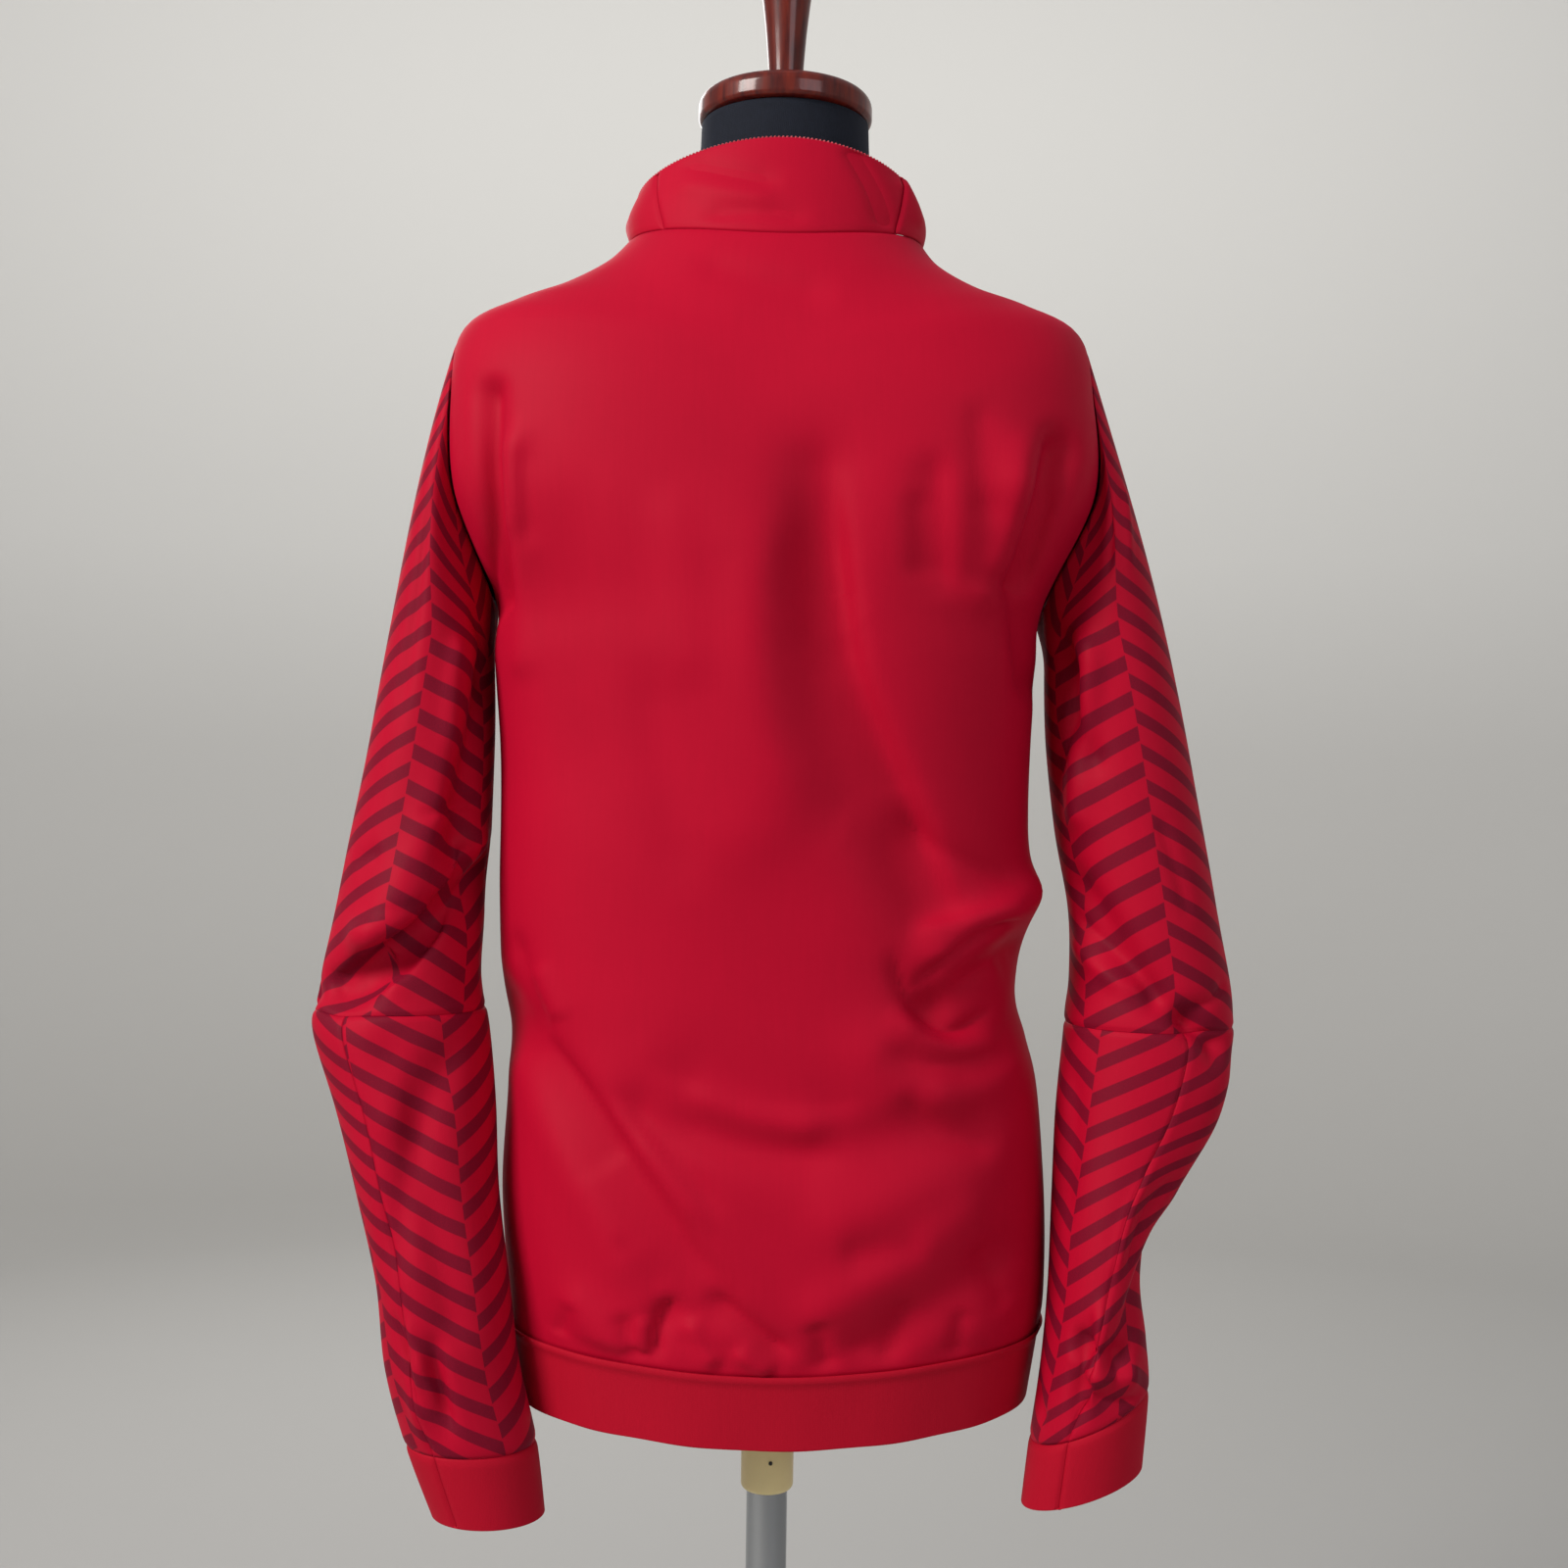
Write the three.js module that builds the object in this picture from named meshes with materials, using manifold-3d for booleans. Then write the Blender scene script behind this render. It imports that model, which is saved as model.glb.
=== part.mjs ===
// A zip-front track jacket worn by a limbless dress form on a pole stand.
// Units are millimetres, +Z is up, the front of the jacket faces -Y, and the wearer's left is +X.
// The origin is on the floor, at the centre of the stand's round base.
import * as THREE from "three";
import Module from "manifold-3d";

const wasm = await Module();
wasm.setup();

// Driving dimensions
const midBack = 1100; // height above the floor of the level that the tables below count from
const wall = 1.6; // brushed tricot, one layer
const doubleWall = 2.4; // cuffs, hem band and collar are folded double
const seamGap = 0.3;
const zipHalf = 7.8; // one zip tape with its teeth, from the centre line out
const armholeDepth = 50; // half the armhole, from its middle to its back or front seam
const shoulderSeamBack = { left: 5, right: 13 }; // the shoulder seams lie this far behind the ridge
const collarLean = 4; // how far the collar bulges between its two edges
const poleRadius = 12.5;
const socketRadius = 16;
const capRadius = 53;
const baseRadius = 185;

const cloth = { color: 0xc4173c, roughness: 0.62, metalness: 0 };
const ribbed = { color: 0xb5122c, roughness: 0.7, metalness: 0 };
const printed = { color: 0xb3163a, roughness: 0.62, metalness: 0 };
const formCover = { color: 0x20242e, roughness: 0.85, metalness: 0 };
const varnish = { color: 0x6e1f12, roughness: 0.25, metalness: 0 };
const cream = { color: 0xcbbd92, roughness: 0.5, metalness: 0 };
const chrome = { color: 0xb8babc, roughness: 0.12, metalness: 1 };
const ironBase = { color: 0x24262a, roughness: 0.55, metalness: 0.2 };

// The jacket's body as rings from the hem up to the neck. A ring has its own height at the
// side, back and front, half widths to the wearer's left and right, and depths from the middle.
const bodyColumns = ["sideZ", "backZ", "frontZ", "left", "right", "sideY", "back", "front", "square"];
const bodyRows = [
  [-364, -372, -370, 155, 157, 0, 102, -108, 2.3],
  [-323, -331.5, -331, 159, 163.5, 0, 105, -111, 2.3],
  [-300, -300, -300, 159, 166, 0, 110, -116, 2.3],
  [-240, -240, -240, 163, 165.5, 0, 110, -117, 2.3],
  [-180, -180, -180, 160, 160, 0, 107, -115, 2.3],
  [-150, -150, -150, 160, 153, 0, 105, -114, 2.3],
  [-120, -120, -120, 165.5, 146.5, 0, 105, -114, 2.3],
  [-72, -72, -72, 167, 155.5, 0, 107, -118, 2.3],
  [-24, -24, -24, 167, 153, 0, 110, -124, 2.3],
  [24, 24, 24, 168, 153.5, 0, 113, -128, 2.3],
  [72, 70, 66, 171, 156.5, 0, 116, -130, 2.4],
  [110, 105, 95, 173, 160, 0, 117, -128, 2.5],
  [172, 160, 140, 197, 190, 0, 118, -122, 2.9],
  [232, 205, 175, 200, 188, 0, 113, -112, 2.9],
  [270, 239, 198, 193, 180, 0, 105, -103, 2.5],
  [286, 259, 211, 166, 152, 2, 98, -98, 2.3],
  [297, 276, 223, 135, 121, 4, 92, -93, 2.2],
  [311.5, 296, 237, 109, 96, 4, 84, -87, 2.1],
  [328, 316, 250, 94, 84, 0, 72, -80, 2],
];
const hemBottom = 0;
const hemSeam = 1;
const armpit = 11;
const shoulderTip = 14;
const neckSeam = 18;
const sliderLevel = 14.2;

// The collar's top edge, in the same columns.
const collarTop = {
  sideZ: 358,
  backZ: 376,
  frontZ: 304,
  left: 90.5,
  right: 80.5,
  sideY: -12,
  back: 58,
  front: -98,
  square: 2,
  rise: 1.2,
};
const neckOpening = 30; // half the gap between the fronts at the neck seam
const collarOpening = 50; // the same at the collar's top edge

// The dress form, smaller than the jacket everywhere, in the same columns but with one half width.
const formColumns = ["sideZ", "backZ", "frontZ", "left", "sideY", "back", "front", "square"];
const formRows = [
  [-300, -300, -300, 140, 0, 88, -94, 2.2],
  [-240, -240, -240, 143, 0, 90, -96, 2.2],
  [-180, -180, -180, 140, 0, 88, -94, 2.2],
  [-120, -120, -120, 131, 0, 82, -88, 2.2],
  [-72, -72, -72, 125, 0, 79, -88, 2.2],
  [-24, -24, -24, 124, 0, 80, -95, 2.2],
  [24, 24, 24, 127, 0, 86, -104, 2.2],
  [72, 70, 66, 133, 0, 93, -109, 2.2],
  [110, 105, 95, 138, 0, 97, -109, 2.2],
  [160, 150, 132, 146, 0, 99, -104, 2.2],
  [222, 198, 170, 157, 0, 98, -97, 2.3],
  [258, 233, 192, 160, 0, 94, -91, 2.3],
  [279.5, 255, 206, 149, 2, 92, -88, 2.2],
  [290, 271, 217, 132, 4, 88, -84, 2.1],
  [302, 290, 228, 106, 4, 81, -79, 2.05],
  [320, 311, 246, 79, 2, 64, -68, 2],
  [345, 336, 282, 61, -1, 56, -58, 2],
  [372, 368, 338, 53, -2, 52, -54, 2],
  [402, 402, 402, 51, -2, 49, -53, 2],
];

// One sleeve as rings: height at its middle, outer and inner edge seen from behind, middle and
// half size in depth, how much the outer edge is raised, and how far the forearm seam is turned.
const sleeveColumns = ["z", "outer", "inner", "middle", "halfDepth", "raise", "seam"];
const leftSleeve = [
  [72, 237.5, 173.5, 6, 56, 0, 60],
  [24, 245.5, 172, 8, 56, 0, 60],
  [-24, 254, 172.5, 12, 55, 0, 60],
  [-72, 261.5, 174, 18, 53, 0, 60],
  [-108, 268.5, 175.5, 23, 51, 0, 60],
  [-126, 272.5, 174, 26, 50, 0, 60],
  [-148, 273, 169, 30, 50, 0, 60],
  [-192, 257, 163.5, 38, 47, 0, 62],
  [-240, 242, 159.5, 48, 43, 0, 62],
  [-288, 227.5, 151.5, 59, 40, 0, 62],
  [-336, 220.5, 144, 65, 36, 0, 62],
  [-379, 208, 133, 68, 32, 0, 64],
  [-420.5, 192, 127.5, 68, 28, 0, 64],
];
const rightSleeve = [
  [72, 238.5, 163, 6, 56, 0, 70],
  [24, 248.5, 164, 8, 56, 0, 70],
  [-24, 257, 169, 12, 55, 0, 70],
  [-72, 264.5, 177, 18, 53, 0, 70],
  [-112, 272, 177, 23, 51, 0, 70],
  [-132, 273.5, 174.5, 26, 50, 0, 71],
  [-150, 272.5, 173, 28, 49, 0, 72],
  [-192, 261, 168.5, 33, 47, 2, 76],
  [-240, 231.5, 166, 40, 45, 4, 84],
  [-288, 216.5, 163.5, 47, 44, 7, 90],
  [-327, 218.5, 159, 53, 40, 11, 104],
  [-362, 220.5, 152.5, 56, 34, 16, 120],
  [-404, 217.5, 148, 56, 29, 12, 130],
];
const elbowSeam = 5.5;
const cuffSeam = 11;
const cuffEnd = 12;
const seamShare = 0.01; // half a seam's gap, as a share of the space between two rings

// The largest folds of the body: a line on the back or front seen square on, its width and its
// depth, with a minus for a trough and a plus for a ridge.
const foldColumns = ["face", "x0", "z0", "x1", "z1", "width", "depth"];
const bodyFolds = [
  ["back", 165, 218, 161, 104, 8, -9],
  ["back", 148, 190, 146, 70, 10, 3],
  ["back", -158, 192, -137, 114, 9, -13],
  ["back", -137, 114, -146, 62, 9, -7],
  ["back", -134, 184, -116, 110, 11, 5],
  ["back", -122, 150, -118, 120, 12, -5],
  ["back", -22, 172, -24, 76, 22, -6],
  ["back", -24, 76, -48, -6, 26, -6],
  ["back", -48, -6, -90, -72, 22, -6],
  ["back", 22, 130, 10, -20, 30, 5],
  ["back", -146, -62, -96, -92, 14, 9],
  ["back", -142, -96, -92, -124, 11, -8],
  ["back", -60, -150, -100, -180, 24, 5],
  ["back", 160, -132, 96, -210, 16, -7],
  ["back", 96, -210, 36, -292, 16, -5],
  ["back", 140, -170, 80, -262, 16, 4],
  ["back", 70, -182, -20, -206, 18, -5],
  ["back", -20, -206, -108, -186, 18, -5],
  ["back", -40, -242, -120, -214, 18, 4],
  ["back", 108, -296, 84, -318, 12, 4],
  ["back", 56, -300, 30, -322, 12, -4],
  ["back", -56, -312, -132, -268, 14, -5],
  ["back", -30, -290, -110, -240, 14, 4],
  ["front", 172, 210, 164, 112, 9, -9],
  ["front", -170, 200, -156, 100, 10, -11],
  ["front", 120, 150, 100, 40, 22, -4],
  ["front", -118, 140, -96, 30, 22, -4],
  ["front", 150, -90, 70, -170, 18, -6],
  ["front", -140, -80, -66, -150, 18, -6],
  ["front", 60, 60, 48, -60, 24, 4],
  ["front", -62, 50, -50, -70, 24, 4],
  ["front", 96, -290, 60, -240, 16, -4],
  ["front", -90, -290, -60, -230, 16, -4],
];

// The largest folds of a sleeve: a line in degrees round it, from the outer edge by the back,
// and in height, with its width and depth.
const sleeveFoldColumns = ["angle0", "z0", "angle1", "z1", "width", "depth"];
const leftFolds = [
  [160, 60, 128, -30, 13, -7],
  [130, 70, 112, -20, 13, 4],
  [140, -42, 98, -98, 14, -9],
  [98, -98, 52, -120, 12, -8],
  [120, -26, 76, -84, 15, 6],
  [128, -86, 96, -114, 12, 5],
  [36, -120, 0, -132, 9, -4],
  [98, -160, 104, -300, 16, -5],
  [70, -330, 60, -368, 9, 4],
  [88, -318, 84, -366, 8, -4],
  [300, -90, 250, -130, 14, -7],
  [290, -150, 260, -240, 15, -4],
  [240, 50, 280, -30, 16, -5],
];
const rightFolds = [
  [150, 84, 128, 20, 11, -8],
  [122, 80, 140, -14, 11, 6],
  [150, -60, 104, -112, 12, -6],
  [72, -132, 48, -148, 9, -9],
  [96, -122, 72, -134, 9, -6],
  [40, -172, 30, -230, 18, 5],
  [20, -262, 72, -322, 12, -6],
  [96, -300, 104, -340, 10, 5],
  [60, -330, 44, -366, 10, 4],
  [120, -316, 112, -362, 9, -5],
  [300, -90, 250, -136, 14, -7],
  [286, -150, 262, -240, 15, -4],
  [240, 50, 280, -30, 16, -5],
];

const rad = THREE.MathUtils.degToRad;
const named = (columns, row) => Object.fromEntries(columns.map((name, i) => [name, row[i]]));
const foldsOf = (columns, rows) => rows.map((row) => named(columns, row));
const power = (base, exponent) => Math.pow(Math.abs(base), exponent);
const smooth = (t) => THREE.MathUtils.smoothstep(t, 0, 1);

// A row of a table at a fractional index, by a Catmull-Rom curve through the rows.
function rowAt(columns, rows, index) {
  const last = rows.length - 1;
  const start = THREE.MathUtils.clamp(Math.floor(index), 0, last - 1);
  const t = index - start;
  const pick = (i) => rows[THREE.MathUtils.clamp(i, 0, last)];
  const [p0, p1, p2, p3] = [pick(start - 1), pick(start), pick(start + 1), pick(start + 2)];
  const value = (i) => {
    const slope1 = (p2[i] - p0[i]) / 2;
    const slope2 = (p3[i] - p1[i]) / 2;
    const [t2, t3] = [t * t, t * t * t];
    const between = (2 * t3 - 3 * t2 + 1) * p1[i] + (3 * t2 - 2 * t3) * p2[i];
    return between + (t3 - 2 * t2 + t) * slope1 + (t3 - t2) * slope2;
  };
  return Object.fromEntries(columns.map((name, i) => [name, value(i)]));
}

// A point of a ring at an angle: 0 is the wearer's left, 90 degrees the back, 270 the front.
function ringPoint(ring, angle) {
  const [c, s] = [Math.cos(angle), Math.sin(angle)];
  const half = c >= 0 ? ring.left : (ring.right ?? ring.left);
  const depth = s >= 0 ? ring.back - ring.sideY : ring.sideY - ring.front;
  const reach = power(power(c / half, ring.square) + power(s / depth, ring.square), -1 / ring.square);
  const end = s >= 0 ? ring.backZ : ring.frontZ;
  const height = ring.sideZ + (end - ring.sideZ) * power(s, ring.rise ?? 2);
  return new THREE.Vector3(reach * c, ring.sideY + reach * s, midBack + height);
}

// The angle at which a ring has a given depth, on the wearer's left or right.
function angleAtDepth(ring, y, leftSide) {
  const half = leftSide ? ring.left : ring.right;
  const out = y - ring.sideY;
  const depth = out >= 0 ? ring.back - ring.sideY : ring.sideY - ring.front;
  const x = half * power(1 - power(out / depth, ring.square), 1 / ring.square);
  return Math.atan2(out, leftSide ? x : -x);
}

// How far the folds move a point, from its distance to each fold's line.
function foldShift(folds, across, up, weight) {
  let shift = 0;
  for (const fold of folds) {
    const [dx, dz] = [fold.x1 - fold.x0, fold.z1 - fold.z0];
    const along = ((across - fold.x0) * dx + (up - fold.z0) * dz) / (dx * dx + dz * dz);
    const t = THREE.MathUtils.clamp(along, 0, 1);
    const away = Math.hypot(across - fold.x0 - t * dx, up - fold.z0 - t * dz) / fold.width;
    shift += fold.depth * Math.exp(-away * away) * weight(fold);
  }
  return shift;
}

// The normal of a surface given by two numbers, pointing to the outer side.
function normalOf(surface, a, b, sign) {
  const step = 0.01; // in the surface's own two numbers
  const da = surface(a + step, b).sub(surface(a - step, b));
  const db = surface(a, b + step).sub(surface(a, b - step));
  return da.cross(db).normalize().multiplyScalar(sign);
}

const smoothBody = (angle, level) => ringPoint(rowAt(bodyColumns, bodyRows, level), angle);
const bodyFoldList = foldsOf(foldColumns, bodyFolds);

// The jacket's outer surface, with its folds fading out at the hem seam, shoulders and neck,
// and each fold on its own face of the body.
const foldFade = { hem: 0.7, shoulder: 1.2, shoulderEnd: 0.4 }; // in levels
const facingFade = { start: 4, length: 40 }; // in depth
function bodySurface(angle, level) {
  const point = smoothBody(angle, level);
  const top = shoulderTip + foldFade.shoulderEnd;
  const fade = smooth((level - hemSeam) / foldFade.hem) * smooth((top - level) / foldFade.shoulder);
  const facing = (fold) => {
    const behind = fold.face === "back" ? point.y : -point.y;
    return smooth((behind + facingFade.start) / facingFade.length);
  };
  const shift = fade * foldShift(bodyFoldList, point.x, point.z - midBack, facing);
  return point.addScaledVector(normalOf(smoothBody, angle, level, 1), shift);
}

// The collar from the neck seam, height 0, to its top edge, height 1, bulging in between.
function collarSurface(angle, height) {
  const ring = rowAt(bodyColumns, bodyRows, neckSeam);
  const low = ringPoint(ring, angle);
  const high = ringPoint(collarTop, angle);
  const bulge = collarLean * Math.sin(Math.PI * height) * (1 - Math.max(0, Math.sin(angle)));
  const point = low.lerp(high, height);
  return point.add(new THREE.Vector3(Math.cos(angle), Math.sin(angle), 0).multiplyScalar(bulge));
}

// Half the open share of the armhole at a level: 0 at the armpit and shoulder tip, 1 midway.
const armholeMiddle = (armpit + shoulderTip) / 2;
const armholeReach = (shoulderTip - armpit) / 2;
function armholeShare(level) {
  const across = (level - armholeMiddle) / armholeReach;
  return Math.sqrt(Math.max(0, 1 - across * across));
}

// How far the middle between the back and the front lies behind the ridge of the shoulder: it
// moves back round the shoulder tip, and forward again towards the neck. Both are in levels.
const seamShiftIn = { start: shoulderTip - 0.6, length: 1.2 };
const seamShiftOut = { end: neckSeam + 0.5, length: 2 };
function seamShift(level, leftSide) {
  const behind = leftSide ? shoulderSeamBack.left : shoulderSeamBack.right;
  const grown = smooth((level - seamShiftIn.start) / seamShiftIn.length);
  return behind * grown * smooth((seamShiftOut.end - level) / seamShiftOut.length);
}

// The depth of the seam at a panel's outer edge: side seam, armhole, then shoulder seam.
function seamDepth(level, leftSide, back) {
  const ring = rowAt(bodyColumns, bodyRows, level);
  const away = armholeDepth * armholeShare(level) + seamGap / 2;
  return ring.sideY + seamShift(level, leftSide) + (back ? away : -away);
}

// A point of a sleeve's ring: 0 is the outer edge, 90 degrees the back. side is +1 on the left.
function sleeveRing(rows, side, angle, index) {
  const row = rowAt(sleeveColumns, rows, index);
  const half = (row.outer - row.inner) / 2;
  const x = (row.outer + row.inner) / 2 + half * Math.cos(angle);
  const y = row.middle + row.halfDepth * Math.sin(angle);
  return new THREE.Vector3(side * x, y, midBack + row.z + row.raise * Math.cos(angle));
}

// The armhole's edge on the body, where the sleeve's first ring lies.
const armholeSlit = 0.016; // the seam's gap at the armpit and shoulder tip, as a share of a level
function armholePoint(side, angle) {
  const level = armholeMiddle + (armholeReach - armholeSlit) * Math.cos(angle);
  const ring = rowAt(bodyColumns, bodyRows, level);
  const y = ring.sideY + seamShift(level, side > 0) + (armholeDepth - seamGap) * Math.sin(angle);
  return bodySurface(angleAtDepth(ring, y, side > 0), level);
}

// A sleeve's smooth surface. From 0 to 1 it leaves the armhole, outwards at the shoulder tip and
// backwards at the back, then it follows its rings.
const sleeveLeave = { out: 0.18, outAtTip: 0.11, back: 0.2, down: 0.95 };
const leaveShare = 0.36; // the share of the way to the first ring that the direction holds for
function smoothSleeve(rows, side, angle, along) {
  if (along >= 1) return sleeveRing(rows, side, angle, along - 1);
  const start = armholePoint(side, angle);
  const end = sleeveRing(rows, side, angle, 0);
  const next = sleeveRing(rows, side, angle, 1);
  const reach = start.distanceTo(end) * leaveShare;
  const out = side * (sleeveLeave.out + sleeveLeave.outAtTip * Math.cos(angle));
  const back = sleeveLeave.back * Math.sin(angle);
  const leave = new THREE.Vector3(out, back, -sleeveLeave.down).normalize();
  const arrive = end.clone().sub(next).normalize();
  const curve = new THREE.CubicBezierCurve3(
    start,
    start.clone().addScaledVector(leave, reach),
    end.clone().addScaledVector(arrive, reach),
    end,
  );
  return curve.getPoint(along);
}

// A sleeve's surface with its folds, which fade out at the cuff and at the armhole.
const sleeveRadius = 50; // turns degrees round a sleeve into millimetres
const sleeveFade = { cuff: 0.8, armhole: 0.7, armholeStart: 0.1 }; // in rings
function sleeveSurface(sleeve, angle, along) {
  const bare = (a, b) => smoothSleeve(sleeve.rows, sleeve.side, a, b);
  const point = bare(angle, along);
  const turn = THREE.MathUtils.euclideanModulo(angle, 2 * Math.PI);
  const atCuff = smooth((cuffSeam + 1 - along) / sleeveFade.cuff);
  const fade = atCuff * smooth((along - sleeveFade.armholeStart) / sleeveFade.armhole);
  const shift = fade * foldShift(sleeve.folds, turn * sleeveRadius, point.z - midBack, () => 1);
  return point.addScaledVector(normalOf(bare, angle, along, -sleeve.side), shift);
}

const sleeveFolds = (rows) =>
  foldsOf(sleeveFoldColumns, rows).map((fold) => ({
    x0: rad(fold.angle0) * sleeveRadius,
    z0: fold.z0,
    x1: rad(fold.angle1) * sleeveRadius,
    z1: fold.z1,
    width: fold.width,
    depth: fold.depth,
  }));
const sleeves = {
  left: { side: 1, rows: leftSleeve, folds: sleeveFolds(leftFolds) },
  right: { side: -1, rows: rightSleeve, folds: sleeveFolds(rightFolds) },
};

const span = (from, to, steps) =>
  Array.from({ length: steps + 1 }, (_, i) => from + ((to - from) * i) / steps);

// A closed skin over an outer and an inner grid of points, whose rows may close on themselves.
function skin(outer, inner, ringed) {
  const [rows, columns] = [outer.length, outer[0].length];
  const points = [...outer.flat(), ...inner.flat()];
  const at = (layer, r, c) => layer * rows * columns + r * columns + (c % columns);
  const faces = [];
  const quad = (a, b, c, d) => faces.push([a, b, c], [a, c, d]);
  const wide = ringed ? columns : columns - 1;
  for (let r = 0; r < rows - 1; r++)
    for (let c = 0; c < wide; c++) {
      quad(at(0, r, c), at(0, r, c + 1), at(0, r + 1, c + 1), at(0, r + 1, c));
      quad(at(1, r, c), at(1, r + 1, c), at(1, r + 1, c + 1), at(1, r, c + 1));
    }
  for (let c = 0; c < wide; c++) {
    quad(at(0, 0, c + 1), at(0, 0, c), at(1, 0, c), at(1, 0, c + 1));
    quad(at(0, rows - 1, c + 1), at(1, rows - 1, c + 1), at(1, rows - 1, c), at(0, rows - 1, c));
  }
  if (!ringed)
    for (let r = 0; r < rows - 1; r++) {
      const c = columns - 1;
      quad(at(0, r, 0), at(0, r + 1, 0), at(1, r + 1, 0), at(1, r, 0));
      quad(at(0, r, c), at(1, r, c), at(1, r + 1, c), at(0, r + 1, c));
    }
  return facingOut(points, faces);
}

// A geometry from points and faces, with every face turned to point out.
function facingOut(points, faces) {
  let volume = 0;
  for (const [a, b, c] of faces) volume += points[a].dot(points[b].clone().cross(points[c]));
  if (volume < 0) for (const face of faces) face.reverse();
  const geometry = new THREE.BufferGeometry().setFromPoints(points);
  geometry.setIndex(faces.flat());
  geometry.computeVertexNormals();
  return geometry;
}

// A wall of cloth: each line of its grid has a surface, which gives its outer side, and the
// pairs of numbers that give its points.
function gridWall(lines, thick, sign, ringed = false) {
  const outer = lines.map(({ surface, points }) => points.map(([a, b]) => surface(a, b)));
  const inner = lines.map(({ surface, points }, r) =>
    points.map(([a, b], c) => {
      const inwards = normalOf(surface, a, b, -sign);
      return outer[r][c].clone().addScaledVector(inwards, thick);
    }),
  );
  return skin(outer, inner, ringed);
}
const clothWall = (surface, lines, thick, sign, ringed) =>
  gridWall(lines.map((points) => ({ surface, points })), thick, sign, ringed);

// Columns between two values, closer together at both ends where crowd is above 0.
const crowded = (from, to, steps, crowd) =>
  span(0, 1, steps).map((t) => {
    const pulled = t - (crowd * Math.sin(2 * Math.PI * t)) / (2 * Math.PI);
    return THREE.MathUtils.lerp(from, to, pulled);
  });

// The panels' rows, closer together at the two ends of the armhole, where its edge turns.
const levelSlit = { hem: 0.006, neck: 0.014 }; // the gaps of the hem and neck seams, in levels
const armholeLevels = span(0, Math.PI, 10).map((t) => armholeMiddle - armholeReach * Math.cos(t));
const panelLevels = [
  hemSeam + levelSlit.hem,
  ...span(hemSeam, armpit, 14).slice(1, -1),
  ...armholeLevels,
  ...span(shoulderTip, neckSeam, 4).slice(1, -1),
  neckSeam - levelSlit.neck,
];

// Half the distance between the fronts' zip edges: closed up to the slider, then parting along
// a smooth step that is longer and higher than the way to the neck seam, and is cut off there.
const parting = { length: 1.6, height: 1.35 };
function frontEdge(level) {
  const way = (level - sliderLevel) / (neckSeam - sliderLevel);
  const parted = smooth(way / parting.length) * parting.height;
  return zipHalf + seamGap + (neckOpening - zipHalf) * Math.min(parted, 1);
}

// The angle of a front's point at a given distance from the centre line.
function frontAngle(level, x) {
  const ring = rowAt(bodyColumns, bodyRows, level);
  return 1.5 * Math.PI + Math.atan2(x, ring.sideY - ring.front);
}

const [backColumns, backCrowding] = [24, 0.55];
function backPanel() {
  const lines = panelLevels.map((level) => {
    const ring = rowAt(bodyColumns, bodyRows, level);
    const start = angleAtDepth(ring, seamDepth(level, true, true), true);
    const end = angleAtDepth(ring, seamDepth(level, false, true), false);
    return crowded(start, end, backColumns, backCrowding).map((a) => [a, level]);
  });
  return clothWall(bodySurface, lines, wall, 1);
}

const [frontColumns, frontCrowding] = [11, 0.3];
function frontPanel(leftSide) {
  const side = leftSide ? 1 : -1;
  const lines = panelLevels.map((level) => {
    const ring = rowAt(bodyColumns, bodyRows, level);
    const seam = angleAtDepth(ring, seamDepth(level, leftSide, false), leftSide);
    const outer = seam < (leftSide ? Math.PI : 0) ? seam + 2 * Math.PI : seam;
    const inner = frontAngle(level, side * frontEdge(level));
    return crowded(inner, outer, frontColumns, frontCrowding).map((a) => [a, level]);
  });
  return clothWall(bodySurface, lines, wall, 1);
}

const bandColumns = 44;
function hemBand() {
  const lines = [hemBottom + 0.02, 0.5, hemSeam - levelSlit.hem].map((level) => {
    const start = frontAngle(level, zipHalf + seamGap) - 2 * Math.PI;
    const end = frontAngle(level, -zipHalf - seamGap);
    return span(start, end, bandColumns).map((a) => [a, level]);
  });
  return clothWall(bodySurface, lines, doubleWall, 1);
}

const collarHeights = [0.014, 0.3, 0.6, 1];
const collarSeamAngle = (height) => rad(34 - 8 * height); // the seams beside the neck
const collarSlit = 0.002;

// Half the distance between the fronts of the collar, and the angle that gives a point of it
// at a distance from the centre line.
const collarEdge = (height) => neckOpening + seamGap + (collarOpening - neckOpening) * height;
const collarFrontDepth = { low: 80, high: 98 };
function collarAngle(height, x) {
  const depth = THREE.MathUtils.lerp(collarFrontDepth.low, collarFrontDepth.high, height);
  return 1.5 * Math.PI + Math.atan2(x, depth);
}

function collarBack() {
  const lines = collarHeights.map((h) => {
    const start = collarSeamAngle(h) + collarSlit;
    return span(start, Math.PI - start, 16).map((a) => [a, h]);
  });
  return clothWall(collarSurface, lines, doubleWall, 1);
}

function collarFront(leftSide) {
  const lines = collarHeights.map((h) => {
    const seam = collarSeamAngle(h) - collarSlit;
    const start = leftSide ? collarAngle(h, collarEdge(h)) - 2 * Math.PI : Math.PI - seam;
    const end = leftSide ? seam : collarAngle(h, -collarEdge(h));
    return span(start, end, 12).map((a) => [a, h]);
  });
  return clothWall(collarSurface, lines, doubleWall, 1);
}

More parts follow.
